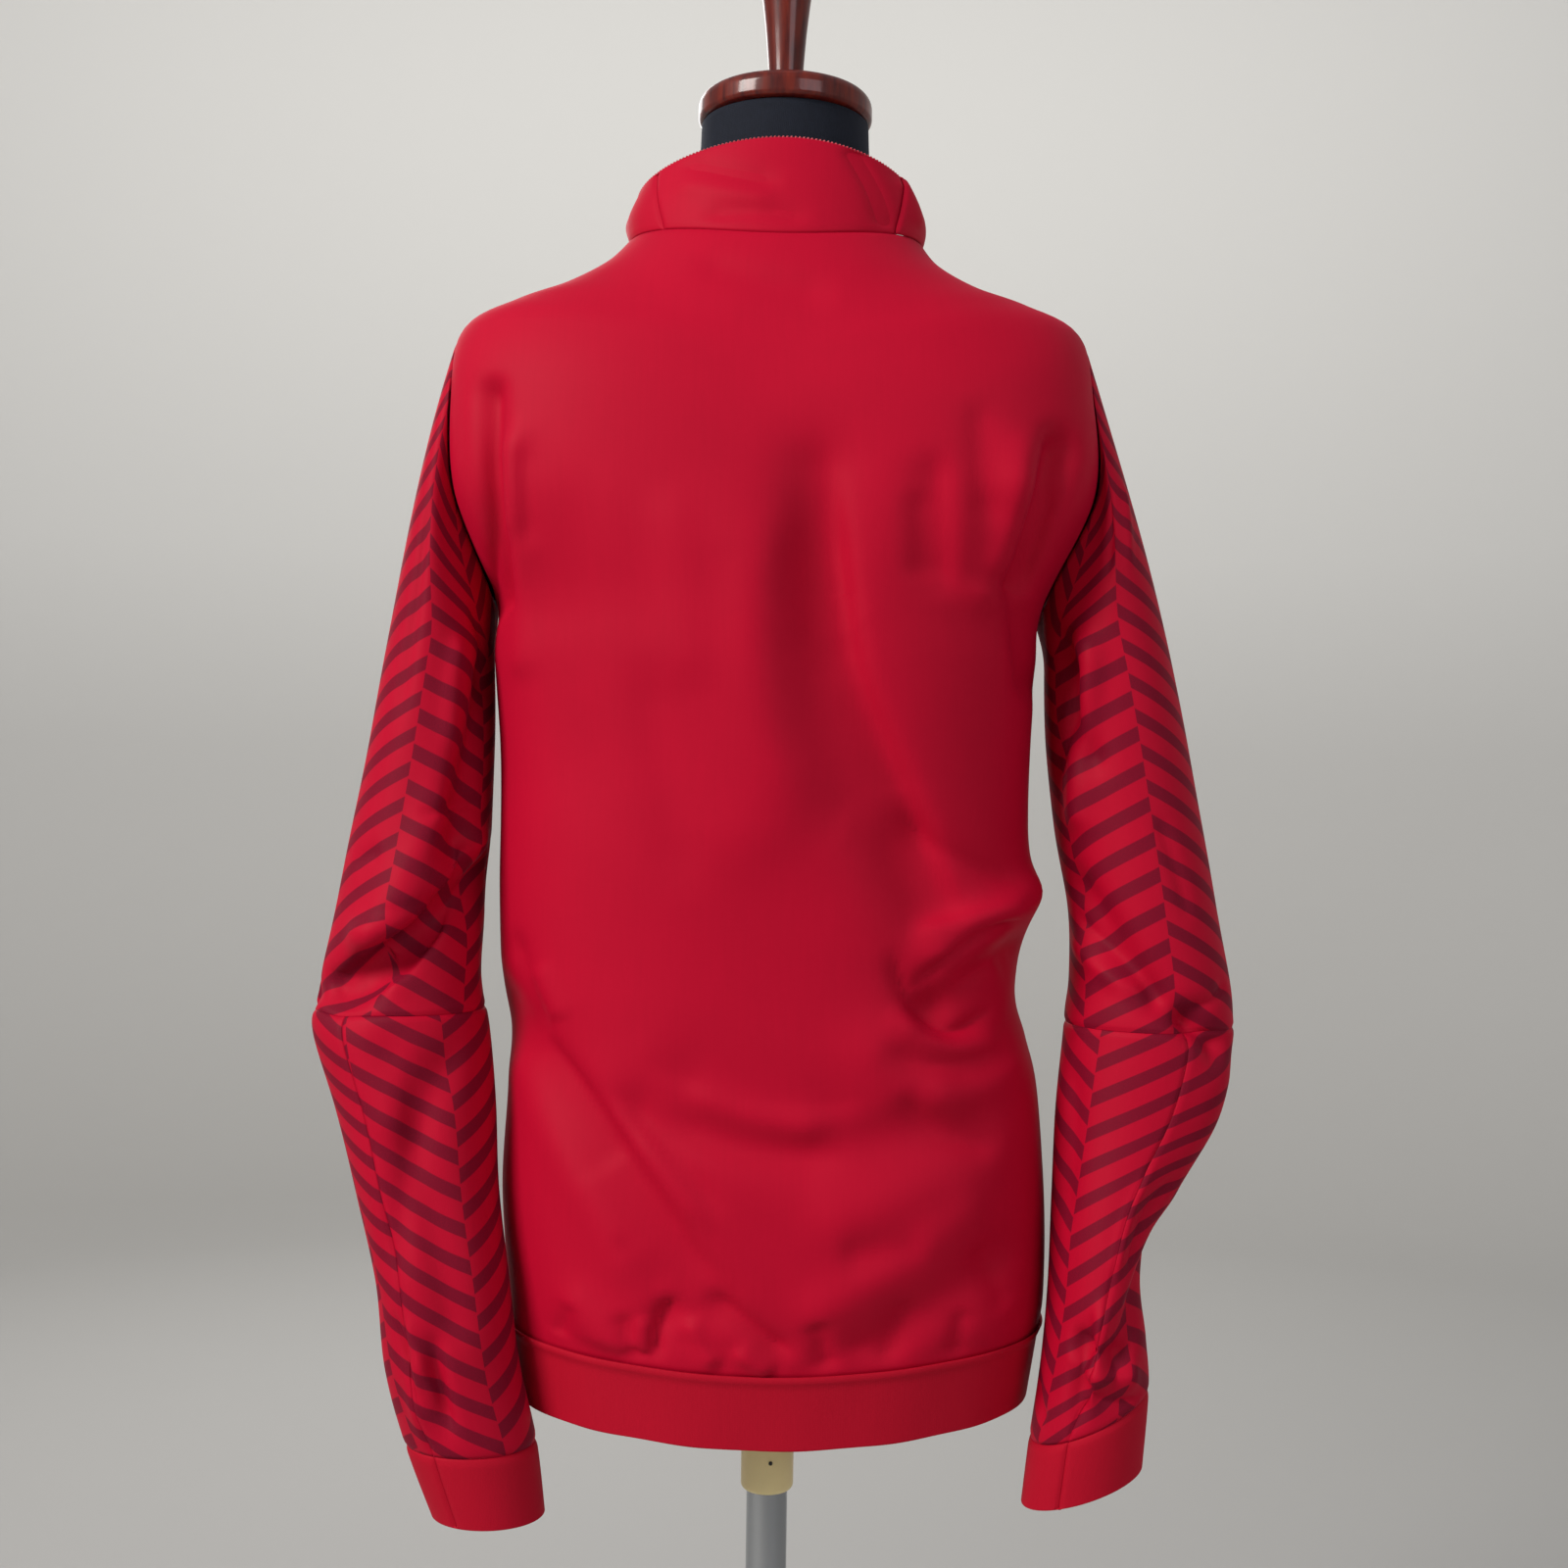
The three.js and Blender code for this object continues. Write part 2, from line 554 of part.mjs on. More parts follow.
// One half of the zip, from the hem up the body and on up the collar: a row holds a surface
// and three points across the tape, from the teeth to the front's edge.
function zipTape(leftSide) {
  const side = leftSide ? 1 : -1;
  const across = (edge) =>
    [edge - zipHalf + seamGap / 2, edge - zipHalf / 2, edge].map((x) => side * x);
  const below = span(hemSeam, sliderLevel, 12);
  const above = span(sliderLevel, neckSeam - 0.02, 5).slice(1);
  const rows = [
    ...[hemBottom + 0.04, ...below, ...above].map((level) => ({
      surface: bodySurface,
      points: across(frontEdge(level) - seamGap).map((x) => [frontAngle(level, x), level]),
    })),
    ...[0.1, 0.4, 0.7, 0.97].map((height) => ({
      surface: collarSurface,
      points: across(collarEdge(height) - seamGap).map((x) => [collarAngle(height, x), height]),
    })),
  ];
  return gridWall(rows, wall, 1);
}

// The angles of the forearm's two long seams, behind the elbow and under the arm, and the
// sleeve's columns between them, which the upper sleeve and the cuff share.
const underarmSeam = rad(196);
const seamSlit = 0.014;
function forearmSeam(sleeve, along) {
  const row = rowAt(sleeveColumns, sleeve.rows, Math.max(0, along - 1));
  return rad(row.seam);
}

// At the armhole the columns lie at even steps of 18 degrees, as the panels' points there do.
const evenStep = rad(18);
const [outerColumns, innerColumns] = [12, 8];
function sleeveColumnsAt(sleeve, along, outerPanel) {
  const seam = forearmSeam(sleeve, along);
  const steps = outerPanel ? outerColumns : innerColumns;
  const [start, end] = outerPanel ? [underarmSeam - 2 * Math.PI, seam] : [seam, underarmSeam];
  const evenStart = outerPanel ? -9 * evenStep : 3 * evenStep;
  const even = span(evenStart, evenStart + steps * evenStep, steps);
  const seamed = span(start + seamSlit / 2, end - seamSlit / 2, steps);
  return even.map((a, i) => [THREE.MathUtils.lerp(a, seamed[i], smooth(along)), along]);
}
const tubeLine = (sleeve, along) => [
  ...sleeveColumnsAt(sleeve, along, true).slice(0, -1),
  ...sleeveColumnsAt(sleeve, along, false).slice(0, -1),
];

function upperSleeve(sleeve) {
  const surface = (a, b) => sleeveSurface(sleeve, a, b);
  const alongs = [...span(0, 1, 6), ...span(1, elbowSeam + 1 - seamShare, 9).slice(1)];
  const lines = alongs.map((along) => tubeLine(sleeve, along));
  return clothWall(surface, lines, wall, -sleeve.side, true);
}

function forearm(sleeve, outerPanel) {
  const surface = (a, b) => sleeveSurface(sleeve, a, b);
  const alongs = span(elbowSeam + 1 + seamShare, cuffSeam + 1 - seamShare, 11);
  const lines = alongs.map((along) => sleeveColumnsAt(sleeve, along, outerPanel));
  return clothWall(surface, lines, wall, -sleeve.side);
}

function cuff(sleeve) {
  const surface = (a, b) => sleeveSurface(sleeve, a, b);
  const alongs = [cuffSeam + 1 + seamShare, cuffSeam + 1.5, cuffEnd + 1];
  const lines = alongs.map((along) => tubeLine(sleeve, along));
  return clothWall(surface, lines, doubleWall, -sleeve.side, true);
}

// The dress form's trunk and neck, closed by a flat underside and a flat neck top.
const formSides = 28;
function formTrunk() {
  const rings = [0, ...span(0.3, formRows.length - 1, 24)].map((index) => {
    const ring = rowAt(formColumns, formRows, index);
    const angles = span(0, 2 * Math.PI, formSides).slice(0, -1);
    return angles.map((a) => ringPoint(ring, a));
  });
  const points = rings.flat();
  const faces = [];
  for (let r = 0; r < rings.length - 1; r++)
    for (let c = 0; c < formSides; c++) {
      const [a, b] = [r * formSides + c, r * formSides + ((c + 1) % formSides)];
      faces.push([a, b, b + formSides], [a, b + formSides, a + formSides]);
    }
  const top = (rings.length - 1) * formSides;
  for (let c = 1; c < formSides - 1; c++) faces.push([0, c + 1, c], [top, top + c, top + c + 1]);
  return facingOut(points, faces);
}

// A turned piece from a profile of radius and height, which it closes on the axis.
function turned(profile, sides = 36) {
  const closed = [[0, profile[0][1]], ...profile, [0, profile.at(-1)[1]]];
  const points = closed.map(([radius, height]) => new THREE.Vector2(radius, height));
  return new THREE.LatheGeometry(points, sides).rotateX(Math.PI / 2);
}

const capBottom = 402.3;
const capHeight = 18;
const capProfile = [
  [capRadius - 3, 0],
  [capRadius, 2.5],
  [capRadius, 11],
  [capRadius - 3, 15.5],
  [capRadius - 9, capHeight],
];
const finialProfile = [
  [10.3, 0],
  [10.3, 8],
  [11.1, 22],
  [12.6, 40],
  [14.8, 59],
  [18, 77],
  [19, 86],
  [16.8, 95],
  [10, 101],
  [1, 103],
];
const socketTop = -300.3;
const socketBottom = -430;
const socketProfile = [
  [socketRadius - 1.5, socketBottom],
  [socketRadius, socketBottom + 2],
  [socketRadius, socketTop],
];
const plinthHeight = 26;
const plinthProfile = [
  [baseRadius, 0],
  [baseRadius, 6],
  [baseRadius - 8, 10],
  [60, 17],
  [30, plinthHeight],
];
const poleProfile = [
  [poleRadius, plinthHeight + seamGap],
  [poleRadius, midBack + socketBottom - seamGap],
];

// The zip's slider and its pull tab, in the slider's own frame: x runs across, y up the zip and
// z out of the cloth, with the bar that the tab hangs on at the origin.
const slider = {
  wide: 9,
  long: 12,
  thick: 3,
  barRadius: 0.7,
  barHeight: 3.2,
  lugX: 3.2,
  lugWide: 1.4,
  lugLong: 3.2,
};
const tab = {
  eyeRadius: 2,
  boreRadius: 1.1,
  neckWide: 4.2,
  neckLong: 8,
  neckStart: 1,
  wide: 7.4,
  long: 18,
  thick: 1.6,
};
const solidOf = (geometry) => {
  const bare = geometry.index ? geometry : geometry.clone();
  const position = bare.getAttribute("position");
  const plain = Uint32Array.from({ length: position.count }, (_, i) => i);
  const index = bare.index ? bare.index.array : plain;
  const mesh = new wasm.Mesh({
    numProp: 3,
    vertProperties: new Float32Array(position.array),
    triVerts: new Uint32Array(index),
  });
  mesh.merge();
  return new wasm.Manifold(mesh);
};
const geometryOf = (solid) => {
  const mesh = solid.getMesh();
  const geometry = new THREE.BufferGeometry();
  geometry.setAttribute("position", new THREE.BufferAttribute(mesh.vertProperties, 3));
  geometry.setIndex(new THREE.BufferAttribute(mesh.triVerts, 1));
  geometry.computeVertexNormals();
  return geometry;
};
const block = (x, y, z, at) => solidOf(new THREE.BoxGeometry(x, y, z).translate(...at));
const rodSides = 16;
const rod = (radius, length) =>
  solidOf(new THREE.CylinderGeometry(radius, radius, length, rodSides).rotateZ(Math.PI / 2));

function zipSlider() {
  const lugHigh = slider.barHeight + 2 * slider.barRadius;
  const lug = (x) => block(slider.lugWide, slider.lugLong, lugHigh, [x, 0, -slider.barHeight / 2]);
  const bodyMiddle = -slider.barHeight - slider.thick / 2;
  const body = block(slider.wide, slider.long, slider.thick, [0, 0, bodyMiddle]);
  const lugged = body.add(lug(slider.lugX)).add(lug(-slider.lugX));
  return geometryOf(lugged.add(rod(slider.barRadius, 2 * slider.lugX)));
}

function pullTab() {
  const neckMiddle = -tab.neckLong / 2 - tab.neckStart;
  const neck = block(tab.neckWide, tab.neckLong, tab.thick, [0, neckMiddle, 0]);
  const grip = block(tab.wide, tab.long, tab.thick, [0, -tab.neckLong - tab.long / 2, 0]);
  const eye = rod(tab.eyeRadius, tab.neckWide);
  return geometryOf(neck.add(grip).add(eye).subtract(rod(tab.boreRadius, 2 * tab.wide)));
}

// Where the slider sits on the zip, and how it leans with the chest.
function sliderPlace() {
  const out = normalOf(bodySurface, 1.5 * Math.PI, sliderLevel, 1);
  const across = new THREE.Vector3(1, 0, 0);
  const up = new THREE.Vector3().crossVectors(out, across);
  const lift = slider.barHeight + slider.thick + 2 * seamGap;
  const origin = bodySurface(1.5 * Math.PI, sliderLevel).addScaledVector(out, lift).setX(0);
  return new THREE.Matrix4().makeBasis(across, up, out).setPosition(origin);
}

const jacket = new THREE.Group();

function add(name, geometry, finish, height = 0) {
  const mesh = new THREE.Mesh(geometry, new THREE.MeshStandardMaterial(finish));
  mesh.name = name;
  mesh.position.z = height;
  jacket.add(mesh);
  return mesh;
}

add("back_panel", backPanel(), cloth);
add("front_left", frontPanel(true), cloth);
add("front_right", frontPanel(false), cloth);
add("hem_band", hemBand(), ribbed);
add("collar_back", collarBack(), cloth);
add("collar_left", collarFront(true), cloth);
add("collar_right", collarFront(false), cloth);
add("zip_tape_left", zipTape(true), ribbed);
add("zip_tape_right", zipTape(false), ribbed);
for (const [name, sleeve] of Object.entries(sleeves)) {
  add("sleeve_upper_" + name, upperSleeve(sleeve), printed);
  add("forearm_outer_" + name, forearm(sleeve, true), printed);
  add("forearm_inner_" + name, forearm(sleeve, false), printed);
  add("cuff_" + name, cuff(sleeve), ribbed);
}
add("zip_slider", zipSlider(), chrome).applyMatrix4(sliderPlace());
add("zip_pull", pullTab(), chrome).applyMatrix4(sliderPlace());

add("form_trunk", formTrunk(), formCover);
add("neck_cap", turned(capProfile), varnish, midBack + capBottom);
add("finial", turned(finialProfile, 24), varnish, midBack + capBottom + capHeight + seamGap);
add("pole_socket", turned(socketProfile, 28), cream, midBack);
add("pole", turned(poleProfile, 28), chrome);
add("stand_base", turned(plinthProfile, 56), ironBase);

export default jacket;
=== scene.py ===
# %% [markdown]
# A track jacket on a dress form
#
# The real object is a zip-front track jacket of smooth polyester knit, pulled over a limbless
# form that stands on a pole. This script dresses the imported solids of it: every panel of cloth
# becomes a thin shell with its folds, seams and stitches, and every hard piece gets fine edges
# and a finish. All of it lies in the frame of the solids, in metres, with +Z up and the front
# of the jacket facing -Y.

# %% The frame
import math

import bmesh
import bpy
import numpy as np
from mathutils import Matrix, Vector


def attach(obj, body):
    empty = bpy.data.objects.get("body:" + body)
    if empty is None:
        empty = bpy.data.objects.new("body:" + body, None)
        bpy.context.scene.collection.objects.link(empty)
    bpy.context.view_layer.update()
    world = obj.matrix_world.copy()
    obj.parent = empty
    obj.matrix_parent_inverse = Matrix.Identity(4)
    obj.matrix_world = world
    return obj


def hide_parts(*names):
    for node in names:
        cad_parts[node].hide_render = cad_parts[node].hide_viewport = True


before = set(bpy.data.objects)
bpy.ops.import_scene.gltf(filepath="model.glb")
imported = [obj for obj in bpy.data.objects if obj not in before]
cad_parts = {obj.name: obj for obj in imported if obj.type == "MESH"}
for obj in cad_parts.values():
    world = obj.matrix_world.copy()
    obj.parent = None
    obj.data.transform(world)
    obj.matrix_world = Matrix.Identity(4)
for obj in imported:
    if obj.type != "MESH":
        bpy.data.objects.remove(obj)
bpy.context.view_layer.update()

# %% [markdown]
# The camera
#
# The photograph looks level at the middle of the back, from so near that the hem curves. A
# camera can be aimed with a constraint or placed by numbers. Numbers are used here, because the
# height, distance and focal length were worked out from the photograph: the roundness of the
# hem gives the distance, and the level at which a ring looks flat gives the height.

# %% Camera
CAMERA_HEIGHT = 1.100
CAMERA_DISTANCE = 1.110
FOCAL_PIXELS = 1850
IMAGE_PIXELS = 1600
AXIS_PIXEL = 792.2  # where the pole's axis crosses the middle row of the photograph
AXIS_LEAN = 0.0135  # pixels sideways for each pixel down
FILM_WIDTH = 36
FAR_END = 40


def add_object(name, data):
    item = bpy.data.objects.new(name, data)
    bpy.context.collection.objects.link(item)
    return item


def make_camera():
    data = bpy.data.cameras.new("camera")
    data.sensor_width = FILM_WIDTH
    data.lens = data.sensor_width * FOCAL_PIXELS / IMAGE_PIXELS
    data.shift_x = (IMAGE_PIXELS / 2 - AXIS_PIXEL) / IMAGE_PIXELS
    data.clip_end = FAR_END
    camera = add_object("camera", data)
    camera.location = (0, CAMERA_DISTANCE, CAMERA_HEIGHT)
    camera.rotation_euler = (math.pi / 2, -math.atan(AXIS_LEAN), math.pi)
    bpy.context.scene.camera = camera
    print("lens", round(data.lens, 1), "mm")


make_camera()

# %% [markdown]
# Rings and tables
#
# A worn garment is a tube whose section changes all the way up. It could be sculpted, or draped
# by a simulation, but its sections are known from the photograph, so each tube is a table of
# rings. A smooth curve runs through the rows, so that the table stays short. The tables are
# those of the solids, in millimetres, with heights counted from the middle of the back.

# %% The jacket's body
MM = 0.001
MID_BACK = 1100
BODY = ("side_z", "back_z", "front_z", "left", "right", "side_y", "back", "front", "square")
BODY_ROWS = [
    (-364, -372, -370, 155, 157, 0, 102, -108, 2.3),
    (-323, -331.5, -331, 159, 163.5, 0, 105, -111, 2.3),
    (-300, -300, -300, 159, 166, 0, 110, -116, 2.3),
    (-240, -240, -240, 163, 165.5, 0, 110, -117, 2.3),
    (-180, -180, -180, 160, 160, 0, 107, -115, 2.3),
    (-150, -150, -150, 160, 153, 0, 105, -114, 2.3),
    (-120, -120, -120, 165.5, 146.5, 0, 105, -114, 2.3),
    (-72, -72, -72, 167, 155.5, 0, 107, -118, 2.3),
    (-24, -24, -24, 167, 153, 0, 110, -124, 2.3),
    (24, 24, 24, 168, 153.5, 0, 113, -128, 2.3),
    (72, 70, 66, 171, 156.5, 0, 116, -130, 2.4),
    (110, 105, 95, 173, 160, 0, 117, -128, 2.5),
    (172, 160, 140, 197, 190, 0, 118, -122, 2.9),
    (232, 205, 175, 200, 188, 0, 113, -112, 2.9),
    (270, 239, 198, 193, 180, 0, 105, -103, 2.5),
    (286, 259, 211, 166, 152, 2, 98, -98, 2.3),
    (297, 276, 223, 135, 121, 4, 92, -93, 2.2),
    (311.5, 296, 237, 109, 96, 4, 84, -87, 2.1),
    (328, 316, 250, 94, 84, 0, 72, -80, 2),
]
HEM_SEAM, ARMPIT, SHOULDER_TIP, NECK_SEAM, SLIDER_LEVEL = 1, 11, 14, 18, 14.2
COLLAR_TOP = dict(zip(BODY, (358, 376, 304, 90.5, 80.5, -12, 58, -98, 2)), rise=1.2)
NECK_OPENING, COLLAR_OPENING = 30, 50
COLLAR_LEAN = 4
SEAM_GAP = 0.3
ZIP_HALF = 7.8
ARMHOLE_DEPTH = 50
SHOULDER_SEAM_BACK = {1: 5, -1: 13}


def row_at(rows, index):
    """A table's row at fractional indices: one array for each column, by a Catmull-Rom curve."""
    rows = np.array(rows, float)
    last = len(rows) - 1
    index = np.asarray(index, float)
    start = np.clip(np.floor(index), 0, last - 1).astype(int)
    t = (index - start)[..., None]
    before, here, there, after = (rows[np.clip(start + k, 0, last)] for k in (-1, 0, 1, 2))
    between = (2 * t**3 - 3 * t**2 + 1) * here + (3 * t**2 - 2 * t**3) * there
    bent = (t**3 - 2 * t**2 + t) * (there - before) / 2 + (t**3 - t**2) * (after - here) / 2
    return np.moveaxis(between + bent, -1, 0)


def smooth(t):
    t = np.clip(t, 0, 1)
    return t * t * (3 - 2 * t)


def ring_point(ring, angle):
    """A ring's point: angle 0 is the wearer's left, a quarter turn the back."""
    c, s = np.cos(angle), np.sin(angle)
    half = np.where(c >= 0, ring["left"], ring.get("right", ring["left"]))
    depth = np.where(s >= 0, ring["back"] - ring["side_y"], ring["side_y"] - ring["front"])
    square = ring["square"]
    reach = (np.abs(c / half) ** square + np.abs(s / depth) ** square) ** (-1 / square)
    end = np.where(s >= 0, ring["back_z"], ring["front_z"])
    height = ring["side_z"] + (end - ring["side_z"]) * np.abs(s) ** ring.get("rise", 2)
    return np.stack([reach * c, ring["side_y"] + reach * s, MID_BACK + height + 0 * reach], -1)


def body_ring(level):
    return dict(zip(BODY, row_at(BODY_ROWS, level)))


def angle_at_depth(ring, y, side):
    """The angle at which a ring reaches a depth, on one side."""
    half = ring["left"] if side > 0 else ring["right"]
    out = y - ring["side_y"]
    depth = np.where(out >= 0, ring["back"] - ring["side_y"], ring["side_y"] - ring["front"])
    x = half * (1 - np.abs(out / depth) ** ring["square"]) ** (1 / ring["square"])
    return np.arctan2(out, side * x)


print("body rings:", len(BODY_ROWS))

# %% [markdown]
# Folds
#
# Cloth that hangs from a shoulder or is pushed together at a waist makes soft ridges and
# troughs. A simulation gives some, but not those of the photograph. Each fold is given one by one
# instead: a line on the back or front seen square on, with a width and a depth. The points near
# the line move out or in by a bell curve. The first table holds the large folds, which the
# solids have too. A crease is finer: its width at both ends, depth, sharpness and a path of
# points. A drape hangs over, with a long side and a steep one: its width on the left and on the
# right, depth and path.

# %% The body's folds
FOLD = ("face", "x0", "z0", "x1", "z1", "width", "depth")
BODY_FOLDS = [
    ("back", 165, 218, 161, 104, 8, -9),
    ("back", 148, 190, 146, 70, 10, 3),
    ("back", -158, 192, -137, 114, 9, -13),
    ("back", -137, 114, -146, 62, 9, -7),
    ("back", -134, 184, -116, 110, 11, 5),
    ("back", -122, 150, -118, 120, 12, -5),
    ("back", -22, 172, -24, 76, 22, -6),
    ("back", -24, 76, -48, -6, 26, -6),
    ("back", -48, -6, -90, -72, 22, -6),
    ("back", 22, 130, 10, -20, 30, 5),
    ("back", -146, -62, -96, -92, 14, 9),
    ("back", -142, -96, -92, -124, 11, -8),
    ("back", -60, -150, -100, -180, 24, 5),
    ("back", 160, -132, 96, -210, 16, -7),
    ("back", 96, -210, 36, -292, 16, -5),
    ("back", 140, -170, 80, -262, 16, 4),
    ("back", 70, -182, -20, -206, 18, -5),
    ("back", -20, -206, -108, -186, 18, -5),
    ("back", -40, -242, -120, -214, 18, 4),
    ("back", 108, -296, 84, -318, 12, 4),
    ("back", 56, -300, 30, -322, 12, -4),
    ("back", -56, -312, -132, -268, 14, -5),
    ("back", -30, -290, -110, -240, 14, 4),
    ("front", 172, 210, 164, 112, 9, -9),
    ("front", -170, 200, -156, 100, 10, -11),
    ("front", 120, 150, 100, 40, 22, -4),
    ("front", -118, 140, -96, 30, 22, -4),
    ("front", 150, -90, 70, -170, 18, -6),
    ("front", -140, -80, -66, -150, 18, -6),
    ("front", 60, 60, 48, -60, 24, 4),
    ("front", -62, 50, -50, -70, 24, 4),
    ("front", 96, -290, 60, -240, 16, -4),
    ("front", -90, -290, -60, -230, 16, -4),
]
BACK_CREASES = [
    (14, 18, 3, 2, [(4, 160), (12, 100), (4, 30), (-22, -34)]),
    (12, 14, 2, 2, [(-27, 75), (-50, 10), (-73, -33)]),
    (14, 18, -1.5, 2, [(112, 190), (113, 88), (108, -40)]),
    (12, 16, -1.8, 2, [(77, 76), (63, 5), (47, -70)]),
    (14, 16, 2, 2, [(60, 172), (54, 108), (49, 43)]),
    (9, 6, -3.5, 1.4, [(-154, -58), (-116, -46), (-84, -30), (-67, -12)]),
    (6, 6, 4, 1.8, [(-152, -66), (-128, -72), (-103, -78), (-74, -84)]),
    (4, 4.5, -6, 1.2, [(-150, -78), (-120, -83), (-98, -99), (-74, -117)]),
    (5, 5.5, -5.5, 1.3, [(-64, -88), (-71, -109), (-83, -127), (-104, -138), (-133, -124)]),
    (9, 9, 4, 2, [(-134, -102), (-108, -115), (-88, -117)]),
    (8, 8, 4, 1.8, [(-147, -140), (-115, -150), (-84, -142), (-62, -122)]),
    (8, 12, -4, 1.5, [(-146, -128), (-125, -151), (-89, -155), (-58, -143)]),
    (9, 12, 3, 2, [(-154, -155), (-112, -174), (-78, -169)]),
    (7, 9, -3.4, 1.5, [(-69, -169), (-94, -194), (-137, -206)]),
    (5, 5, -3, 1.4, [(164, 204), (162, 150), (171, 106), (171, 80)]),
    (6, 6, 2.4, 2, [(153, 198), (150, 132)]),
    (6, 7, -2.2, 1.6, [(144, 191), (141, 127)]),
    (6, 6, -4, 1.3, [(-155, 176), (-147, 142), (-138, 110)]),
    (8, 8, 3, 2, [(-138, 186), (-131, 143), (-119, 110)]),
    (9, 9, -2.6, 1.8, [(-110, 220), (-111, 184), (-116, 142)]),
    (9, 10, -2.2, 2, [(-76, 167), (-80, 109)]),
    (5, 8, -4.4, 1.4, [(143, -134), (103, -180), (69, -226), (40, -265), (6, -290)]),
    (5, 6, 2.8, 1.6, [(97, -174), (64, -213), (29, -251)]),
    (5, 5, -2.6, 1.4, [(88, -168), (52, -209), (22, -243)]),
    (5, 6, -2.2, 1.4, [(88, -252), (57, -286)]),
    (8, 10, -3.2, 1.7, [(67, -183), (36, -197), (-1, -205), (-48, -205)]),
    (9, 10, 2.4, 2, [(53, -169), (4, -185), (-39, -190)]),
    (6, 5, -6, 1.3, [(51, -283), (61, -304), (65, -325)]),
    (5, 7, -6.5, 1.3, [(38, -281), (13, -298), (-16, -320)]),
    (6, 6, 5, 1.6, [(46, -295), (34, -317), (27, -326)]),
    (5, 5, -4.5, 1.3, [(82, -295), (78, -310), (72, -324)]),
    (5, 5, 3.6, 1.6, [(70, -296), (70, -321)]),
    (6, 6, 3.8, 1.6, [(20, -313), (-3, -327)]),
    (6, 6, -4, 1.4, [(-25, -295), (-34, -327)]),
    (7, 7, -3.6, 1.5, [(-79, -284), (-63, -325)]),
    (8, 9, -3, 1.6, [(-115, -256), (-139, -301)]),
    (10, 10, -2.6, 2, [(-35, -262), (-90, -256)]),
    (6, 6, -3.4, 1.4, [(-110, -293), (-105, -323)]),
    (5, 5, -2.4, 1.4, [(113, -294), (120, -317)]),
    (7, 8, -3, 1.5, [(153, -83), (144, -113), (128, -149)]),
    (8, 8, 2.2, 2, [(138, -104), (121, -139)]),
    (10, 12, -2, 2, [(56, 299), (10, 284), (-34, 275)]),
]
BACK_DRAPES = [
    (21, 8, -9, [(-19, 196), (-24, 170), (-30, 124), (-40, 65), (-58, 22), (-74, -12), (-92, -56),
                 (-108, -90)]),
    (14, 7, -4, [(-84, 190), (-88, 150), (-92, 100)]),
    (9, 20, -3.5, [(74, -150), (30, -170), (-20, -178), (-64, -168)]),
]
FRONT_CREASES = [
    (4, 4, -2.6, 1.6, [(168, 190), (162, 122)]),
    (4, 4, -3.12, 1.6, [(-166, 186), (-156, 112)]),
    (10, 10, -1.82, 1.6, [(92, 120), (80, 60)]),
    (10, 10, -1.82, 1.6, [(-90, 110), (-76, 50)]),
    (6, 6, -2.34, 1.6, [(140, -98), (84, -150)]),
    (6, 6, -2.34, 1.6, [(-130, -90), (-78, -136)]),
    (5, 5, 1.82, 1.6, [(34, -296), (26, -326)]),
    (5, 5, -1.82, 1.6, [(70, -296), (64, -326)]),
    (6, 6, 1.69, 1.6, [(112, -294), (104, -322)]),
    (5, 5, -1.82, 1.6, [(-36, -298), (-30, -327)]),
    (5, 5, 1.82, 1.6, [(-74, -296), (-68, -326)]),
    (6, 6, -1.69, 1.6, [(-116, -292), (-108, -320)]),
]
CREASE_END = 0.24  # the share of a crease over which it fades


def fold_shift(folds, across, up, weight):
    """How far the folds move points, from their distance to each fold's line. Where a fold
    carries on from the last one, the deeper of the two counts, so that they join without a pit."""
    shift = np.zeros_like(across)
    last, last_end = 0 * shift, None
    for fold in folds:
        dx, dz = fold["x1"] - fold["x0"], fold["z1"] - fold["z0"]
        along = ((across - fold["x0"]) * dx + (up - fold["z0"]) * dz) / (dx * dx + dz * dz)
        t = np.clip(along, 0, 1)
        away = np.hypot(across - fold["x0"] - t * dx, up - fold["z0"] - t * dz) / fold["width"]
        part = fold["depth"] * np.exp(-away * away) * weight(fold)
        if last_end == (fold["x0"], fold["z0"]):
            shift += np.where(np.abs(part) > np.abs(last), part - last, 0)
            part = np.where(np.abs(part) > np.abs(last), part, last)
        else:
            shift += part
        last, last_end = part, (fold["x1"], fold["z1"])
    return shift


def along_curve(corners, across, up):
    """For points on the cloth: the distance to a curve through the corners, positive on its
    left, and the share of the curve's length at the nearest place."""
    fine = np.linspace(0, len(corners) - 1, 4 * len(corners) - 3)
    path = np.stack(row_at(corners, fine), -1)
    steps = np.diff(path, axis=0)
    legs = np.linalg.norm(steps, axis=1)
    run = np.concatenate([[0], np.cumsum(legs)])
    away, place = np.full_like(across, np.inf), np.zeros_like(across)
    for (x, z), (dx, dz), leg, gone in zip(path, steps, legs, run):
        t = np.clip(((across - x) * dx + (up - z) * dz) / leg**2, 0, 1)
        out_x, out_z = across - x - t * dx, up - z - t * dz
        distance = np.hypot(out_x, out_z) * np.where(dx * out_z < dz * out_x, -1, 1)
        nearer = np.abs(distance) < np.abs(away)
        away = np.where(nearer, distance, away)
        place = np.where(nearer, (gone + t * leg) / run[-1], place)
    return away, place


def taper(place):
    """1 along a path, and less near its ends."""
    return smooth(place / CREASE_END) * smooth((1 - place) / CREASE_END)


def crease_shift(creases, across, up):
    """The same for creases: curved lines that fade at both ends and may be sharp at the bottom."""
    shift = np.zeros_like(across)
    for start_width, end_width, depth, sharpness, corners in creases:
        away, place = along_curve(corners, across, up)
        width = start_width + (end_width - start_width) * place
        shift += depth * taper(place) * np.exp(-((np.abs(away) / width) ** sharpness))
    return shift


